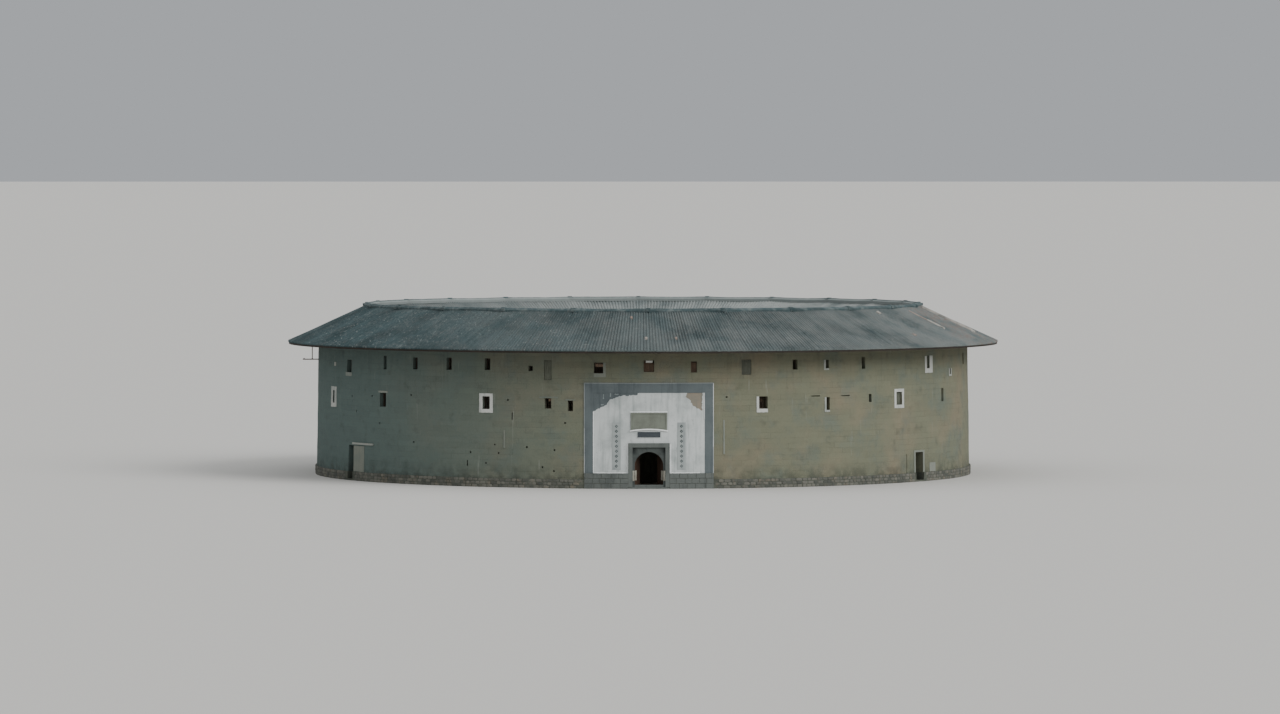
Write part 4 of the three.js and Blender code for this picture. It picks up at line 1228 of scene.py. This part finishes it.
class TULOU_OT_roof_timber(bpy.types.Operator):
    """Set the rafters under both slopes, and the boards along the eaves"""

    bl_idname = "tulou.roof_timber"
    bl_label = "Roof timber"

    OUTER_RAFTERS, COURT_RAFTERS = 360, 240
    WIDTH, DEPTH, UNDER_DECK = 0.09, 0.13, 0.002
    FROM_RIDGE, FROM_EAVE = 0.05, 0.12
    BOARD_FROM_EAVE, BOARD_DEPTH, BOARD_PAST = 0.07, 0.04, 0.01

    def top(self, radius):
        """Height of a rafter's upper edge at a radius."""
        return float(roof_top(radius)) - DECK_DROP - self.UNDER_DECK

    def bottom(self, radius):
        return self.top(radius) - self.DEPTH

    def execute(self, context):
        chosen = settings("roof")
        ridge, court_eave = chosen.ridge_radius, chosen.court_eave_radius
        rafters, boards = Shape(), Shape()
        for count, inside, outside in (
            (self.OUTER_RAFTERS, ridge + self.FROM_RIDGE, EAVE_RADIUS - self.FROM_EAVE),
            (self.COURT_RAFTERS, court_eave + self.FROM_EAVE, ridge - self.FROM_RIDGE),
        ):
            for number in range(count):
                angle, tone = (number + 0.5) * 360 / count, 0.3 + 0.4 * (number * 7 % 5) / 5
                rafters.spar(angle, self.WIDTH, inside, outside, self.bottom, self.top, tone)
        rafters.piece("rafters", gallery_fir("rafter_fir", "outwards"), "timber")
        for count, inside in (
            (self.OUTER_RAFTERS, EAVE_RADIUS - self.BOARD_FROM_EAVE - self.BOARD_DEPTH),
            (self.COURT_RAFTERS, court_eave + self.BOARD_FROM_EAVE),
        ):
            ends = inside, inside + self.BOARD_DEPTH
            low = min(self.bottom(end) for end in ends) - self.BOARD_PAST
            section = rectangle(*ends, low, min(self.top(end) for end in ends))
            boards.sweep(section, np.arange(count) * 360 / count, closed=True)
        # The eave boards are drawn very dark: weathered fir, and partly painted shade under the eave.
        fir = sawn_fir("eave_fir_and_shade", to_linear("#37302a"), to_linear("#25211d"), "round")
        boards.piece("eave_boards", fir, "timber")
        return {"FINISHED"}


# The gate front.


class TULOU_OT_gate_plaster(bpy.types.Operator):
    """Plaster the field and border round the gate, with its fallen corners and white edging"""

    bl_idname = "tulou.gate_plaster"
    bl_label = "Gate plaster"

    # Strips of white edging on the border: left, right, low and high, and whiteness.
    INNER, INNER_TOP = BORDER_HALF - 0.055, BORDER_TOP - 0.055
    EDGING = [
        ((-BORDER_HALF, -INNER, FIELD_LOW, 4.6), 0.5), ((-BORDER_HALF, -INNER, 4.6, INNER_TOP), 0.25),
        ((-BORDER_HALF, BORDER_HALF, INNER_TOP, BORDER_TOP), 0.22),
        ((INNER, BORDER_HALF, FIELD_LOW, 3.2), 0.45), ((INNER, BORDER_HALF, 3.2, INNER_TOP), 0.8),
        ((FIELD_HALF - 0.07, FIELD_HALF, 5.3, FIELD_TOP), 0.9),
    ]

    # Strips of fresh limewash along the edges of the field and round the gate.
    STRIP = 0.07
    STRIP_TOP, BESIDE = FIELD_LOW + STRIP, BAY_HALF + 0.1
    STRIPS = [
        (-FIELD_HALF, STRIP - FIELD_HALF, FIELD_LOW, 5.85),
        (-FIELD_HALF, -BAY_HALF - 0.02, FIELD_LOW, STRIP_TOP),
        (-BESIDE - 0.02, STRIP - BESIDE, STRIP_TOP, 3.4), (BAY_HALF + 0.02, 3.9, FIELD_LOW, STRIP_TOP),
        (BESIDE - STRIP, BESIDE + 0.02, STRIP_TOP, 3.4), (-1.42, 1.42, 5.815, 5.9),
    ]
    STRIP_SEEDS = 70

    # The bowed moulding under the name slab.
    MOULDING_HALF, MOULDING_LOW, MOULDING_HIGH, MOULDING_BOW = 1.45, 4.36, 4.45, 0.13
    MOULDING_POINTS = 13

    # Scraps of plaster that still hang in the fallen left corner.
    SCRAPS = [
        (-2.98, -2.88, 7.0, 7.28), (-3.5, -3.43, 6.82, 7.2),
        (-3.66, -3.44, 6.36, 6.43), (-2.62, -2.3, 7.16, 7.24),
    ]
    SCRAP_SEEDS, SCRAP_RAGGEDNESS, SCRAP_SPACING = 30, 0.02, 0.06

    # How far each coat stands off the earth, or off the coat that it lies on.
    BARED, WASHED, MOULDING, ON_BORDER, ON_PLASTER = 0.012, 0.014, 0.125, 0.01, 0.004

    def moulding(self):
        """Outline of the bowed moulding."""
        line = np.linspace(-self.MOULDING_HALF, self.MOULDING_HALF, self.MOULDING_POINTS)
        bow = self.MOULDING_BOW * (1 - (line / self.MOULDING_HALF) ** 2)
        lower, upper = (list(zip(line, edge + bow)) for edge in (self.MOULDING_LOW, self.MOULDING_HIGH))
        return [*lower, *reversed(upper)]

    def execute(self, context):
        chosen, wall = settings("gate"), settings("wall")
        left, right = ragged(FALLEN_LEFT, 2), ragged(FALLEN_RIGHT, 6)
        field, border, edging, rim, bared, washed, scraps = [Shape() for _ in range(7)]
        field.skin([
            (-FIELD_HALF, FIELD_LOW), (-BAY_HALF, FIELD_LOW), (-BAY_HALF, BAY_TOP), (BAY_HALF, BAY_TOP),
            (BAY_HALF, FIELD_LOW), (FIELD_HALF, FIELD_LOW), (FIELD_HALF, FIELD_TOP),
            *reversed(right), *reversed(left),
        ], chosen.plaster_depth, [rectangle(*NAME_SLAB)])
        border.skin([
            (-BORDER_HALF, FIELD_LOW), (-FIELD_HALF, FIELD_LOW), (-FIELD_HALF, FIELD_TOP),
            (FIELD_HALF, FIELD_TOP), (FIELD_HALF, FIELD_LOW), (BORDER_HALF, FIELD_LOW),
            (BORDER_HALF, BORDER_TOP), (-BORDER_HALF, BORDER_TOP),
        ], chosen.border_depth)
        for edges, tone in self.EDGING:
            edging.skin(rectangle(*edges), chosen.border_depth + self.ON_BORDER, tone=tone)
        for number, edges in enumerate(self.STRIPS):
            outline = ragged_loop(rectangle(*edges), self.STRIP_SEEDS + number)
            rim.skin(outline, chosen.plaster_depth + self.ON_PLASTER)
        rim.skin(self.moulding(), self.MOULDING)
        bared.skin(right[::-1], self.BARED)
        washed.skin([*left, (-FIELD_HALF, FIELD_TOP)], self.WASHED)
        for number, edges in enumerate(self.SCRAPS):
            rough = self.SCRAP_SEEDS + number, self.SCRAP_RAGGEDNESS, self.SCRAP_SPACING
            scraps.skin(ragged_loop(rectangle(*edges), *rough), chosen.plaster_depth)

        plaster = lime_coat("lime_plaster", chosen.plaster, wall.grey_earth_and_shade, 0.4)
        field.piece("gate_field", plaster, "plaster", replaces=["gate_plaster"])
        wash = lime_coat("blue_limewash", chosen.border, to_linear("#454c50"), 0.5)
        border.piece("gate_border_band", wash, "border", replaces=["gate_border"])
        white = lime_coat("white_edging", to_linear("#dcdfdd"), chosen.border, 0.5, worn_to=chosen.border)
        edging.piece("white_edging", white, "plaster")
        rim.piece("fresh_rim", lime_coat("fresh_limewash", chosen.rim, chosen.plaster, 0.3), "plaster")
        clay = lime_coat("clay_undercoat", chosen.undercoat, wall.grey_earth_and_shade, 0.5)
        bared.piece("bared_undercoat", clay, "earth")
        washed.piece("washed_undercoat", wash, "border")
        faded = lime_coat("faded_plaster", to_linear("#8d9796"), chosen.border, 0.6)
        scraps.piece("plaster_remains", faded, "plaster")
        return {"FINISHED"}


class TULOU_OT_gate_boards(bpy.types.Operator):
    """Hang the name slab, the long board and the two side strips on the gate front"""

    bl_idname = "tulou.gate_boards"
    bl_label = "Slab, board and strips"

    # The plain rims of the slab and the board, and how far rims and faces stand off the earth.
    SLAB_RIM, SLAB_RIM_PROUD, SLAB_PROUD = 0.11, 0.115, 0.085
    BOARD_RIM, BOARD_RIM_PROUD, BOARD_PROUD = 0.04, 0.09, 0.075

    # The side strips, and the lozenges painted down them with a bare core.
    STRIP_MIDDLE, STRIP_HALF, STRIP_PROUD = 2.48, 0.325, 0.055
    STRIP_LOW, STRIP_HIGH, STRIP_END = 1.44, 5.05, 0.1
    LOZENGES, HALF_WIDTH, HALF_HEIGHT, CORE = 9, 0.13, 0.36, 0.3
    MARK_PROUD, MARK_SUNK = 0.061, 0.05
    SLAB_EDGE, BOARD_EDGE, STRIP_EDGE = 0.008, 0.005, 0.006

    def lozenge(self, middle, height, wide, tall):
        return [(middle + wide * x, height + tall * z) for x, z in ((-1, 0), (0, -1), (1, 0), (0, 1))]

    def execute(self, context):
        chosen = settings("gate")
        slab, board, strips, marks = [Shape() for _ in range(4)]
        left, right, low, high = NAME_SLAB
        rim = self.SLAB_RIM
        panel = rectangle(left + rim, right - rim, low + rim, high - rim)
        slab.skin(rectangle(*NAME_SLAB), self.SLAB_RIM_PROUD, [panel])
        slab.skin(panel, self.SLAB_PROUD)
        left, right, low, high = LONG_BOARD
        board.skin(rectangle(*LONG_BOARD), self.BOARD_PROUD)
        for bottom, top in ((high - self.BOARD_RIM, high), (low, low + self.BOARD_RIM)):
            board.skin(rectangle(left, right, bottom, top), self.BOARD_RIM_PROUD)
        low, high = self.STRIP_LOW, self.STRIP_HIGH
        pitch = (high - low - 2 * self.STRIP_END) / self.LOZENGES
        wide, tall = self.HALF_WIDTH, pitch * self.HALF_HEIGHT
        for middle in (-self.STRIP_MIDDLE, self.STRIP_MIDDLE):
            left, right = middle - self.STRIP_HALF, middle + self.STRIP_HALF
            strips.skin(rectangle(left, right, low, high), self.STRIP_PROUD)
            for number in range(self.LOZENGES):
                height = low + self.STRIP_END + pitch * (number + 0.5)
                core = self.lozenge(middle, height, wide * self.CORE, tall * self.CORE)
                marks.skin(self.lozenge(middle, height, wide, tall), self.MARK_PROUD, [core], self.MARK_SUNK)
        stone = dressed_stone("slab_stone", chosen.slab, to_linear("#55564d"))
        slab.piece("name_panel", stone, "granite", replaces=["name_slab"], edge=self.SLAB_EDGE)
        painted = sawn_fir("painted_board", chosen.board, to_linear("#3b4044"), "round")
        board.piece("long_board", painted, "timber", edge=self.BOARD_EDGE)
        pale = dressed_stone("strip_stone", to_linear("#a0a6a4"), to_linear("#727a7b"))
        strips.piece("side_strips", pale, "granite", edge=self.STRIP_EDGE)
        inked = lime_coat("worn_ink", to_linear("#3c4444"), to_linear("#868e8d"), 0.55)
        marks.piece("lozenge_marks", inked, "border")
        return {"FINISHED"}


class TULOU_OT_gate_stones(bpy.types.Operator):
    """Lay the dressed dado, and finish the stone surround, the arch and the paving"""

    bl_idname = "tulou.gate_stones"
    bl_label = "Gate stones"

    COURSES, STONES = 3, 5
    JOINT, FROM_BAY, STONE_BACK = 0.012, 0.002, DADO_RADIUS - 0.08

    # The bed of mortar behind the stones: its face, and its back beside the footing and over it.
    BED_FACE, LOW_BACK, HIGH_BACK = DADO_RADIUS - 0.03, FOOTING_RADIUS + 0.02, FOOTING_RADIUS - 0.05
    UNDER_TOP = 0.02
    SURROUND = ("gate_post_left", "gate_post_right", "gate_lintel")
    WORN, SURROUND_WORN = 0.012, 0.02

    # How far a joint strays in degrees; then, from the least to the most, the stones' set-backs and tones.
    STRAY, SET_BACKS, TONES = 0.2, (0.002, 0.01), (0.3, 0.8)

    def execute(self, context):
        rng = np.random.default_rng(9)
        blocks, bed = Shape(), Shape()
        height = DADO_TOP / self.COURSES
        gap = math.degrees(self.JOINT / DADO_RADIUS)
        for side in (-1, 1):
            edges = BAY_HALF + self.FROM_BAY, BORDER_HALF
            ends = sorted(math.degrees(math.asin(side * edge / DADO_RADIUS)) for edge in edges)
            bed.arc_box(self.LOW_BACK, self.BED_FACE, *ends, 0, FOOTING_HEIGHT, step=1.0)
            bed.arc_box(self.HIGH_BACK, self.BED_FACE, *ends, FOOTING_HEIGHT, DADO_TOP - self.UNDER_TOP)
            for course in range(self.COURSES):
                low = course * height + (self.JOINT if course else 0)
                high = (course + 1) * height - self.JOINT
                cuts = np.linspace(*ends, self.STONES + 1 + course % 2)
                cuts[1:-1] += rng.uniform(-self.STRAY, self.STRAY, len(cuts) - 2)
                for start, end in zip(cuts, cuts[1:]):
                    face = DADO_RADIUS - rng.uniform(*self.SET_BACKS)
                    edges = self.STONE_BACK, face, start + gap, end - gap, low, high
                    blocks.arc_box(*edges, tone=rng.uniform(*self.TONES))
        granite = dressed_stone("pointed_granite", settings("gate").granite, to_linear("#3f4443"))
        blocks.piece("dado_blocks", granite, "granite", replaces=["dado_left", "dado_right"], edge=self.WORN)
        bed.piece("dado_bed", packed_clay("dado_mortar", "#5b5f56"), "rubble")
        for name in (*self.SURROUND, "gate_paving"):
            finish_node(name, granite)
        for name in self.SURROUND:
            wear_edges(NODES[name], self.SURROUND_WORN, 2)
        grey, darkening = to_linear("#4d5350"), to_linear("#232827")
        finish_node("gate_arch", dressed_stone("arch_granite", grey, darkening, upper_corners))
        finish_node("gate_head_beam", gallery_fir("beam_fir", "upright", toned=False))
        return {"FINISHED"}


class TULOU_OT_gate_leaves(bpy.types.Operator):
    """Build the two open gate leaves of upright boards with rails behind them, and the papers beside them"""

    bl_idname = "tulou.gate_leaves"
    bl_label = "Gate leaves"

    BOARDS, GAP = 6, 0.008
    RAILS, RAIL, RAIL_DEPTH, RAIL_START, RAIL_END = (0.35, 1.45, 2.5), 0.14, 0.035, 0.05, 0.02
    STILE, PIN, PIN_LENGTH, POLE_SIDES = 0.052, 0.0291, 0.07, 16
    FIRST_BOARD = STILE * 0.8
    PLAY, EDGE = 0.001, 0.006

    # Papers on the right leaf and to its right: two edges across, bottom and top, seed and raggedness.
    LEAF_PAPER = (-0.2, -0.5, 0.62, 1.36, 80, 0.015)
    JAMB_PAPER = (1.1, 1.24, 0.6, 1.38, 90, 0.012)
    PAPER_SPACING, PAPER_PROUD = 0.08, 0.004

    def add(self, shape, side, points, faces, tone=0.5):
        """Adds points of a closed leaf, turned to where the open leaf stands."""
        shape.add(turned(points, -side * LEAF_OPEN) + np.array((side * HINGE_X, HINGE_Y, 0)), faces, tone)

    def paper(self, sheet, side, face):
        """A sheet of paper on a face, on one side of the gate."""
        near, far, low, high, seed, raggedness = sheet
        outline = rectangle(side * near, side * far, low, high)
        outline = ragged_loop(outline, seed + side, raggedness, self.PAPER_SPACING)
        return prism(outline, face - self.PAPER_PROUD, face + self.PLAY)

    def execute(self, context):
        leaf_fir = sawn_fir("gate_fir", settings("gate").leaf, to_linear("#2e1f19"), "upright")
        paper = lime_coat("worn_paper", to_linear("#b4b3a6"), to_linear("#6f675b"), 0.75)
        half, pitch = LEAF_THICKNESS / 2, (LEAF_WIDTH - self.FIRST_BOARD + self.GAP) / self.BOARDS
        behind = half - self.RAIL_DEPTH
        slabs = []
        for number in range(self.BOARDS):
            near, tone = self.FIRST_BOARD + number * pitch, 0.35 + 0.15 * (number * 3 % 4)
            slabs.append((near, near + pitch - self.GAP, LEAF_BOTTOM, LEAF_TOP, -half, behind, tone))
        for rail in self.RAILS:
            edges = self.RAIL_START, LEAF_WIDTH - self.RAIL_END, rail, rail + self.RAIL
            slabs.append((*edges, behind, half - self.PLAY, 0.4))
        turns = np.arange(self.POLE_SIDES) * 2 * math.pi / self.POLE_SIDES
        papers = Shape()
        for side, word in ((-1, "left"), (1, "right")):
            leaf, patch = Shape(), Shape()
            for radius, past in ((self.STILE, 0), (self.PIN, self.PIN_LENGTH)):
                ring = np.stack([np.cos(turns), np.sin(turns)], -1) * radius
                points = [(*point, end) for end in (LEAF_BOTTOM - past, LEAF_TOP + past) for point in ring]
                self.add(leaf, side, points, bar_faces(2, self.POLE_SIDES))
            for near, far, low, high, front, back, tone in slabs:
                outline = rectangle(-side * near, -side * far, low, high)
                self.add(leaf, side, *prism(outline, front, back), tone)
            body = f"{word}_leaf"
            leaf.piece(f"gate_boards_{word}", leaf_fir, "gate", [f"gate_leaf_{word}"], body, edge=self.EDGE)
            self.add(patch, side, *self.paper(self.LEAF_PAPER, side, -half))
            patch.piece(f"leaf_paper_{word}", paper, "plaster", body=body)
            papers.add(*self.paper(self.JAMB_PAPER, side, -ARCH_FACE))
        papers.piece("jamb_papers", paper, "plaster")
        return {"FINISHED"}


# The galleries.


class TULOU_OT_gate_screen(bpy.types.Operator):
    """Build the boarded screen across the inner end of the gate hall"""

    bl_idname = "tulou.gate_screen"
    bl_label = "Gate screen"

    PANELS, BOARDS = 4, 4
    STILE, RAIL_INSET, BOARD_INSET, EDGE = 0.11, 0.005, 0.025, 0.005
    RAILS = (0.0, 0.75, 2.1)

    def execute(self, context):
        (left, front, low), (right, back, high) = (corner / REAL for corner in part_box("gate_screen"))
        screen, stile = Shape(), self.STILE

        def add(start, end, inset, bottom, top, tone):
            screen.box((start, front + inset, bottom), (end, back - inset, top), tone=tone)

        stiles = np.linspace(left, right - stile, self.PANELS + 1)
        for edge in stiles:
            add(edge, edge + stile, 0, low, high, 0.45)
        for number, (start, end) in enumerate(zip(stiles + stile, stiles[1:])):
            for rail in (*self.RAILS, high - low - stile):
                add(start, end, self.RAIL_INSET, low + rail, low + rail + stile, 0.4)
            edges = np.linspace(start, end, self.BOARDS + 1)
            for place, (near, far) in enumerate(zip(edges, edges[1:])):
                tone = 0.3 + 0.12 * ((number + 2 * place) % 4)
                add(near, far, self.BOARD_INSET, low + stile / 2, high - stile / 2, tone)
        fir = sawn_fir("screen_fir", to_linear("#8f8f80"), to_linear("#66665a"), "upright")
        screen.piece("gate_screen_boards", fir, "timber", replaces=["gate_screen"], edge=self.EDGE)
        return {"FINISHED"}


class TULOU_OT_galleries(bpy.types.Operator):
    """Board the upper floors on their joists, and set the slatted railings between the posts"""

    bl_idname = "tulou.galleries"
    bl_label = "Galleries"

    POST_BACK, CLEAR = 18.152, 0.005
    BOARD_DEPTH, UNDER_TOP, EDGE_BOARD = 0.045, 0.001, 0.05
    JOIST_WIDTH, JOIST_END = 0.1, 0.09

    # Bottom and top of the three rails, and the balusters between them.
    RAILS, RAIL_DEPTH, OVER_FLOOR = ((0.0, 0.06), (0.55, 0.6), (0.87, 0.946)), 0.07, 0.002
    BALUSTER, BALUSTER_LOW, BALUSTER_HIGH = 0.036, 0.03, 0.9

    def add_floor(self, shape, storey, bay_angles):
        top = FLOOR_TOPS[storey]
        bottom, under = top - FLOOR_DEPTH, top - self.BOARD_DEPTH
        inside, outside = self.POST_BACK + self.CLEAR, WALL_INSIDES[storey] - self.CLEAR
        edge = inside + self.EDGE_BOARD
        shape.sweep(rectangle(inside, outside, under, top - self.UNDER_TOP), bay_angles, True)
        shape.sweep(rectangle(inside, edge, bottom, under), bay_angles, True, 0.35)
        count = settings("gallery").joist_count
        for number in range(count):
            angle, tone = (number + 0.5) * 360 / count, 0.4 + 0.1 * (number % 3)
            levels = (lambda radius: bottom), (lambda radius: under)
            shape.spar(angle, self.JOIST_WIDTH, edge, outside - self.JOIST_END, *levels, tone)

    def add_railing(self, shape, storey, bay_angles):
        chosen = settings("gallery")
        low = FLOOR_TOPS[storey] + self.OVER_FLOOR
        front, back = self.POST_BACK + self.CLEAR, self.POST_BACK + self.RAIL_DEPTH
        for bottom, top in self.RAILS:
            shape.sweep(rectangle(front, back, low + bottom, low + top), bay_angles, True)
        turn, half = math.pi / chosen.bays, self.BALUSTER / 2
        middle = -self.POST_BACK * math.cos(turn) - self.RAIL_DEPTH / 2
        across = self.POST_BACK * math.sin(turn)
        places = np.linspace(-across, across, round(2 * across / chosen.baluster_gap) + 1)[:-1]
        for bay, place in product(range(chosen.bays), places):
            start = place - half, middle - half, low + self.BALUSTER_LOW
            end = place + half, middle + half, low + self.BALUSTER_HIGH
            shape.box(start, end, bay * 360 / chosen.bays, 0.6)

    def execute(self, context):
        bays = settings("gallery").bays
        bay_angles = (np.arange(bays) + 0.5) * 360 / bays
        board_fir, rail_fir = gallery_fir("floor_fir", "outwards"), gallery_fir("railing_fir", "upright")
        for storey in UPPER_STOREYS:
            floor, railing, number = Shape(), Shape(), storey + 1
            self.add_floor(floor, storey, bay_angles)
            floor.piece(f"boarded_floor_{number}", board_fir, "timber", replaces=[f"floor_{number}"])
            self.add_railing(railing, storey, bay_angles)
            railing.piece(
                f"slatted_railing_{number}", rail_fir, "timber", replaces=[f"gallery_railing_{number}"])
        post_fir = gallery_fir("post_fir", "upright", toned=False)
        for name in NODES:
            if name.startswith("gallery_frame_"):
                finish_node(name, post_fir)
        return {"FINISHED"}


class TULOU_OT_pole_rack(bpy.types.Operator):
    """Finish the pole rack that stands out of a top window on the left"""

    bl_idname = "tulou.pole_rack"
    bl_label = "Pole rack"

    def execute(self, context):
        finish_node("pole_rack", gallery_fir("bamboo_pole", "outwards", toned=False))
        return {"FINISHED"}


class TULOU_OT_stage(bpy.types.Operator):
    """Lay the pale floor, and set the light and the camera"""

    bl_idname = "tulou.stage"
    bl_label = "Stage"

    FLOOR_REACH = 3500
    CAMERA_ANGLE, CAMERA_PITCH, AXIS_TURN = -1.0, 1.738, 0.0265
    SENSOR_WIDTH, FARTHEST = 36, 12000

    # Each light's softness in degrees, and the way it shines.
    KEY = (35, (-0.75, 0.6, -0.6))
    OVERHEAD = (130, (0.05, 0.1, -1))

    def add(self, context, name, data):
        """Puts an object in the scene."""
        made = bpy.data.objects.new(name, data)
        context.scene.collection.objects.link(made)
        return made

    def execute(self, context):
        chosen = settings("stage")
        mesh = bpy.data.meshes.new("floor")
        reach = self.FLOOR_REACH
        mesh.from_pydata([(x, y, 0) for x, y in rectangle(-reach, reach, -reach, reach)], [], [(0, 1, 2, 3)])
        matt = Finish("matt_floor", chosen.floor, 0.95, 0.1)
        matt.shader["Base Color"].default_value = chosen.floor
        mesh.materials.append(matt.material)
        floor = self.add(context, "floor", mesh)

        world = bpy.data.worlds.new("soft_sky")
        world.use_nodes = True
        sky = world.node_tree.nodes["Background"]
        sky.inputs["Color"].default_value = chosen.sky
        sky.inputs["Strength"].default_value = chosen.sky_strength
        context.scene.world = world
        for name, energy, (softness, direction) in (
            ("soft_key", chosen.key_strength, self.KEY),
            ("soft_overhead", chosen.overhead_strength, self.OVERHEAD),
        ):
            sun = bpy.data.lights.new(name, "SUN")
            sun.energy = energy
            sun.angle = math.radians(softness)
            lamp = self.add(context, name, sun)
            lamp.rotation_mode = "QUATERNION"
            lamp.rotation_quaternion = Vector(direction).to_track_quat("-Z", "Y")

        lens = bpy.data.cameras.new("camera")
        lens.lens = chosen.camera_lens
        lens.sensor_width = self.SENSOR_WIDTH
        lens.clip_end = self.FARTHEST
        camera = self.add(context, "camera", lens)
        camera.location = at(chosen.camera_distance, self.CAMERA_ANGLE, chosen.camera_height)
        pitch, turn = 90 - self.CAMERA_PITCH, self.CAMERA_ANGLE + self.AXIS_TURN
        camera.rotation_euler = (math.radians(pitch), 0, math.radians(turn))
        context.scene.camera = camera
        return {"FINISHED"}


class TULOU_PT_panel(bpy.types.Panel):
    """Lists the sizes and colours, and the operators that build the house"""

    bl_idname = "TULOU_PT_panel"
    bl_label = "Tulou"
    bl_space_type = "VIEW_3D"
    bl_region_type = "UI"
    bl_category = "Tulou"

    def draw(self, context):
        for group, kind in SETTINGS.items():
            for name in kind.__annotations__:
                self.layout.prop(getattr(context.scene, group), name)
        for operator in OPERATORS:
            self.layout.operator(operator.bl_idname)


OPERATORS = [
    TULOU_OT_earth_wall, TULOU_OT_footing, TULOU_OT_windows, TULOU_OT_whitewash, TULOU_OT_tiles,
    TULOU_OT_ridge, TULOU_OT_roof_timber, TULOU_OT_gate_plaster, TULOU_OT_gate_boards, TULOU_OT_gate_stones,
    TULOU_OT_gate_leaves, TULOU_OT_gate_screen, TULOU_OT_galleries, TULOU_OT_pole_rack, TULOU_OT_stage,
]
SETTINGS = {
    "tulou_wall": WallSettings, "tulou_roof": RoofSettings, "tulou_gate": GateSettings,
    "tulou_gallery": GallerySettings, "tulou_stage": StageSettings,
}


def register():
    for kind in (*SETTINGS.values(), *OPERATORS, TULOU_PT_panel):
        bpy.utils.register_class(kind)
    for name, kind in SETTINGS.items():
        setattr(bpy.types.Scene, name, PointerProperty(type=kind))


def unregister():
    for name in SETTINGS:
        delattr(bpy.types.Scene, name)
    for kind in (TULOU_PT_panel, *reversed(OPERATORS), *SETTINGS.values()):
        bpy.utils.unregister_class(kind)


def main():
    register()
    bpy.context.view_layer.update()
    for operator in OPERATORS:
        group, name = operator.bl_idname.split(".")
        getattr(getattr(bpy.ops, group), name)()


if __name__ == "__main__":
    main()
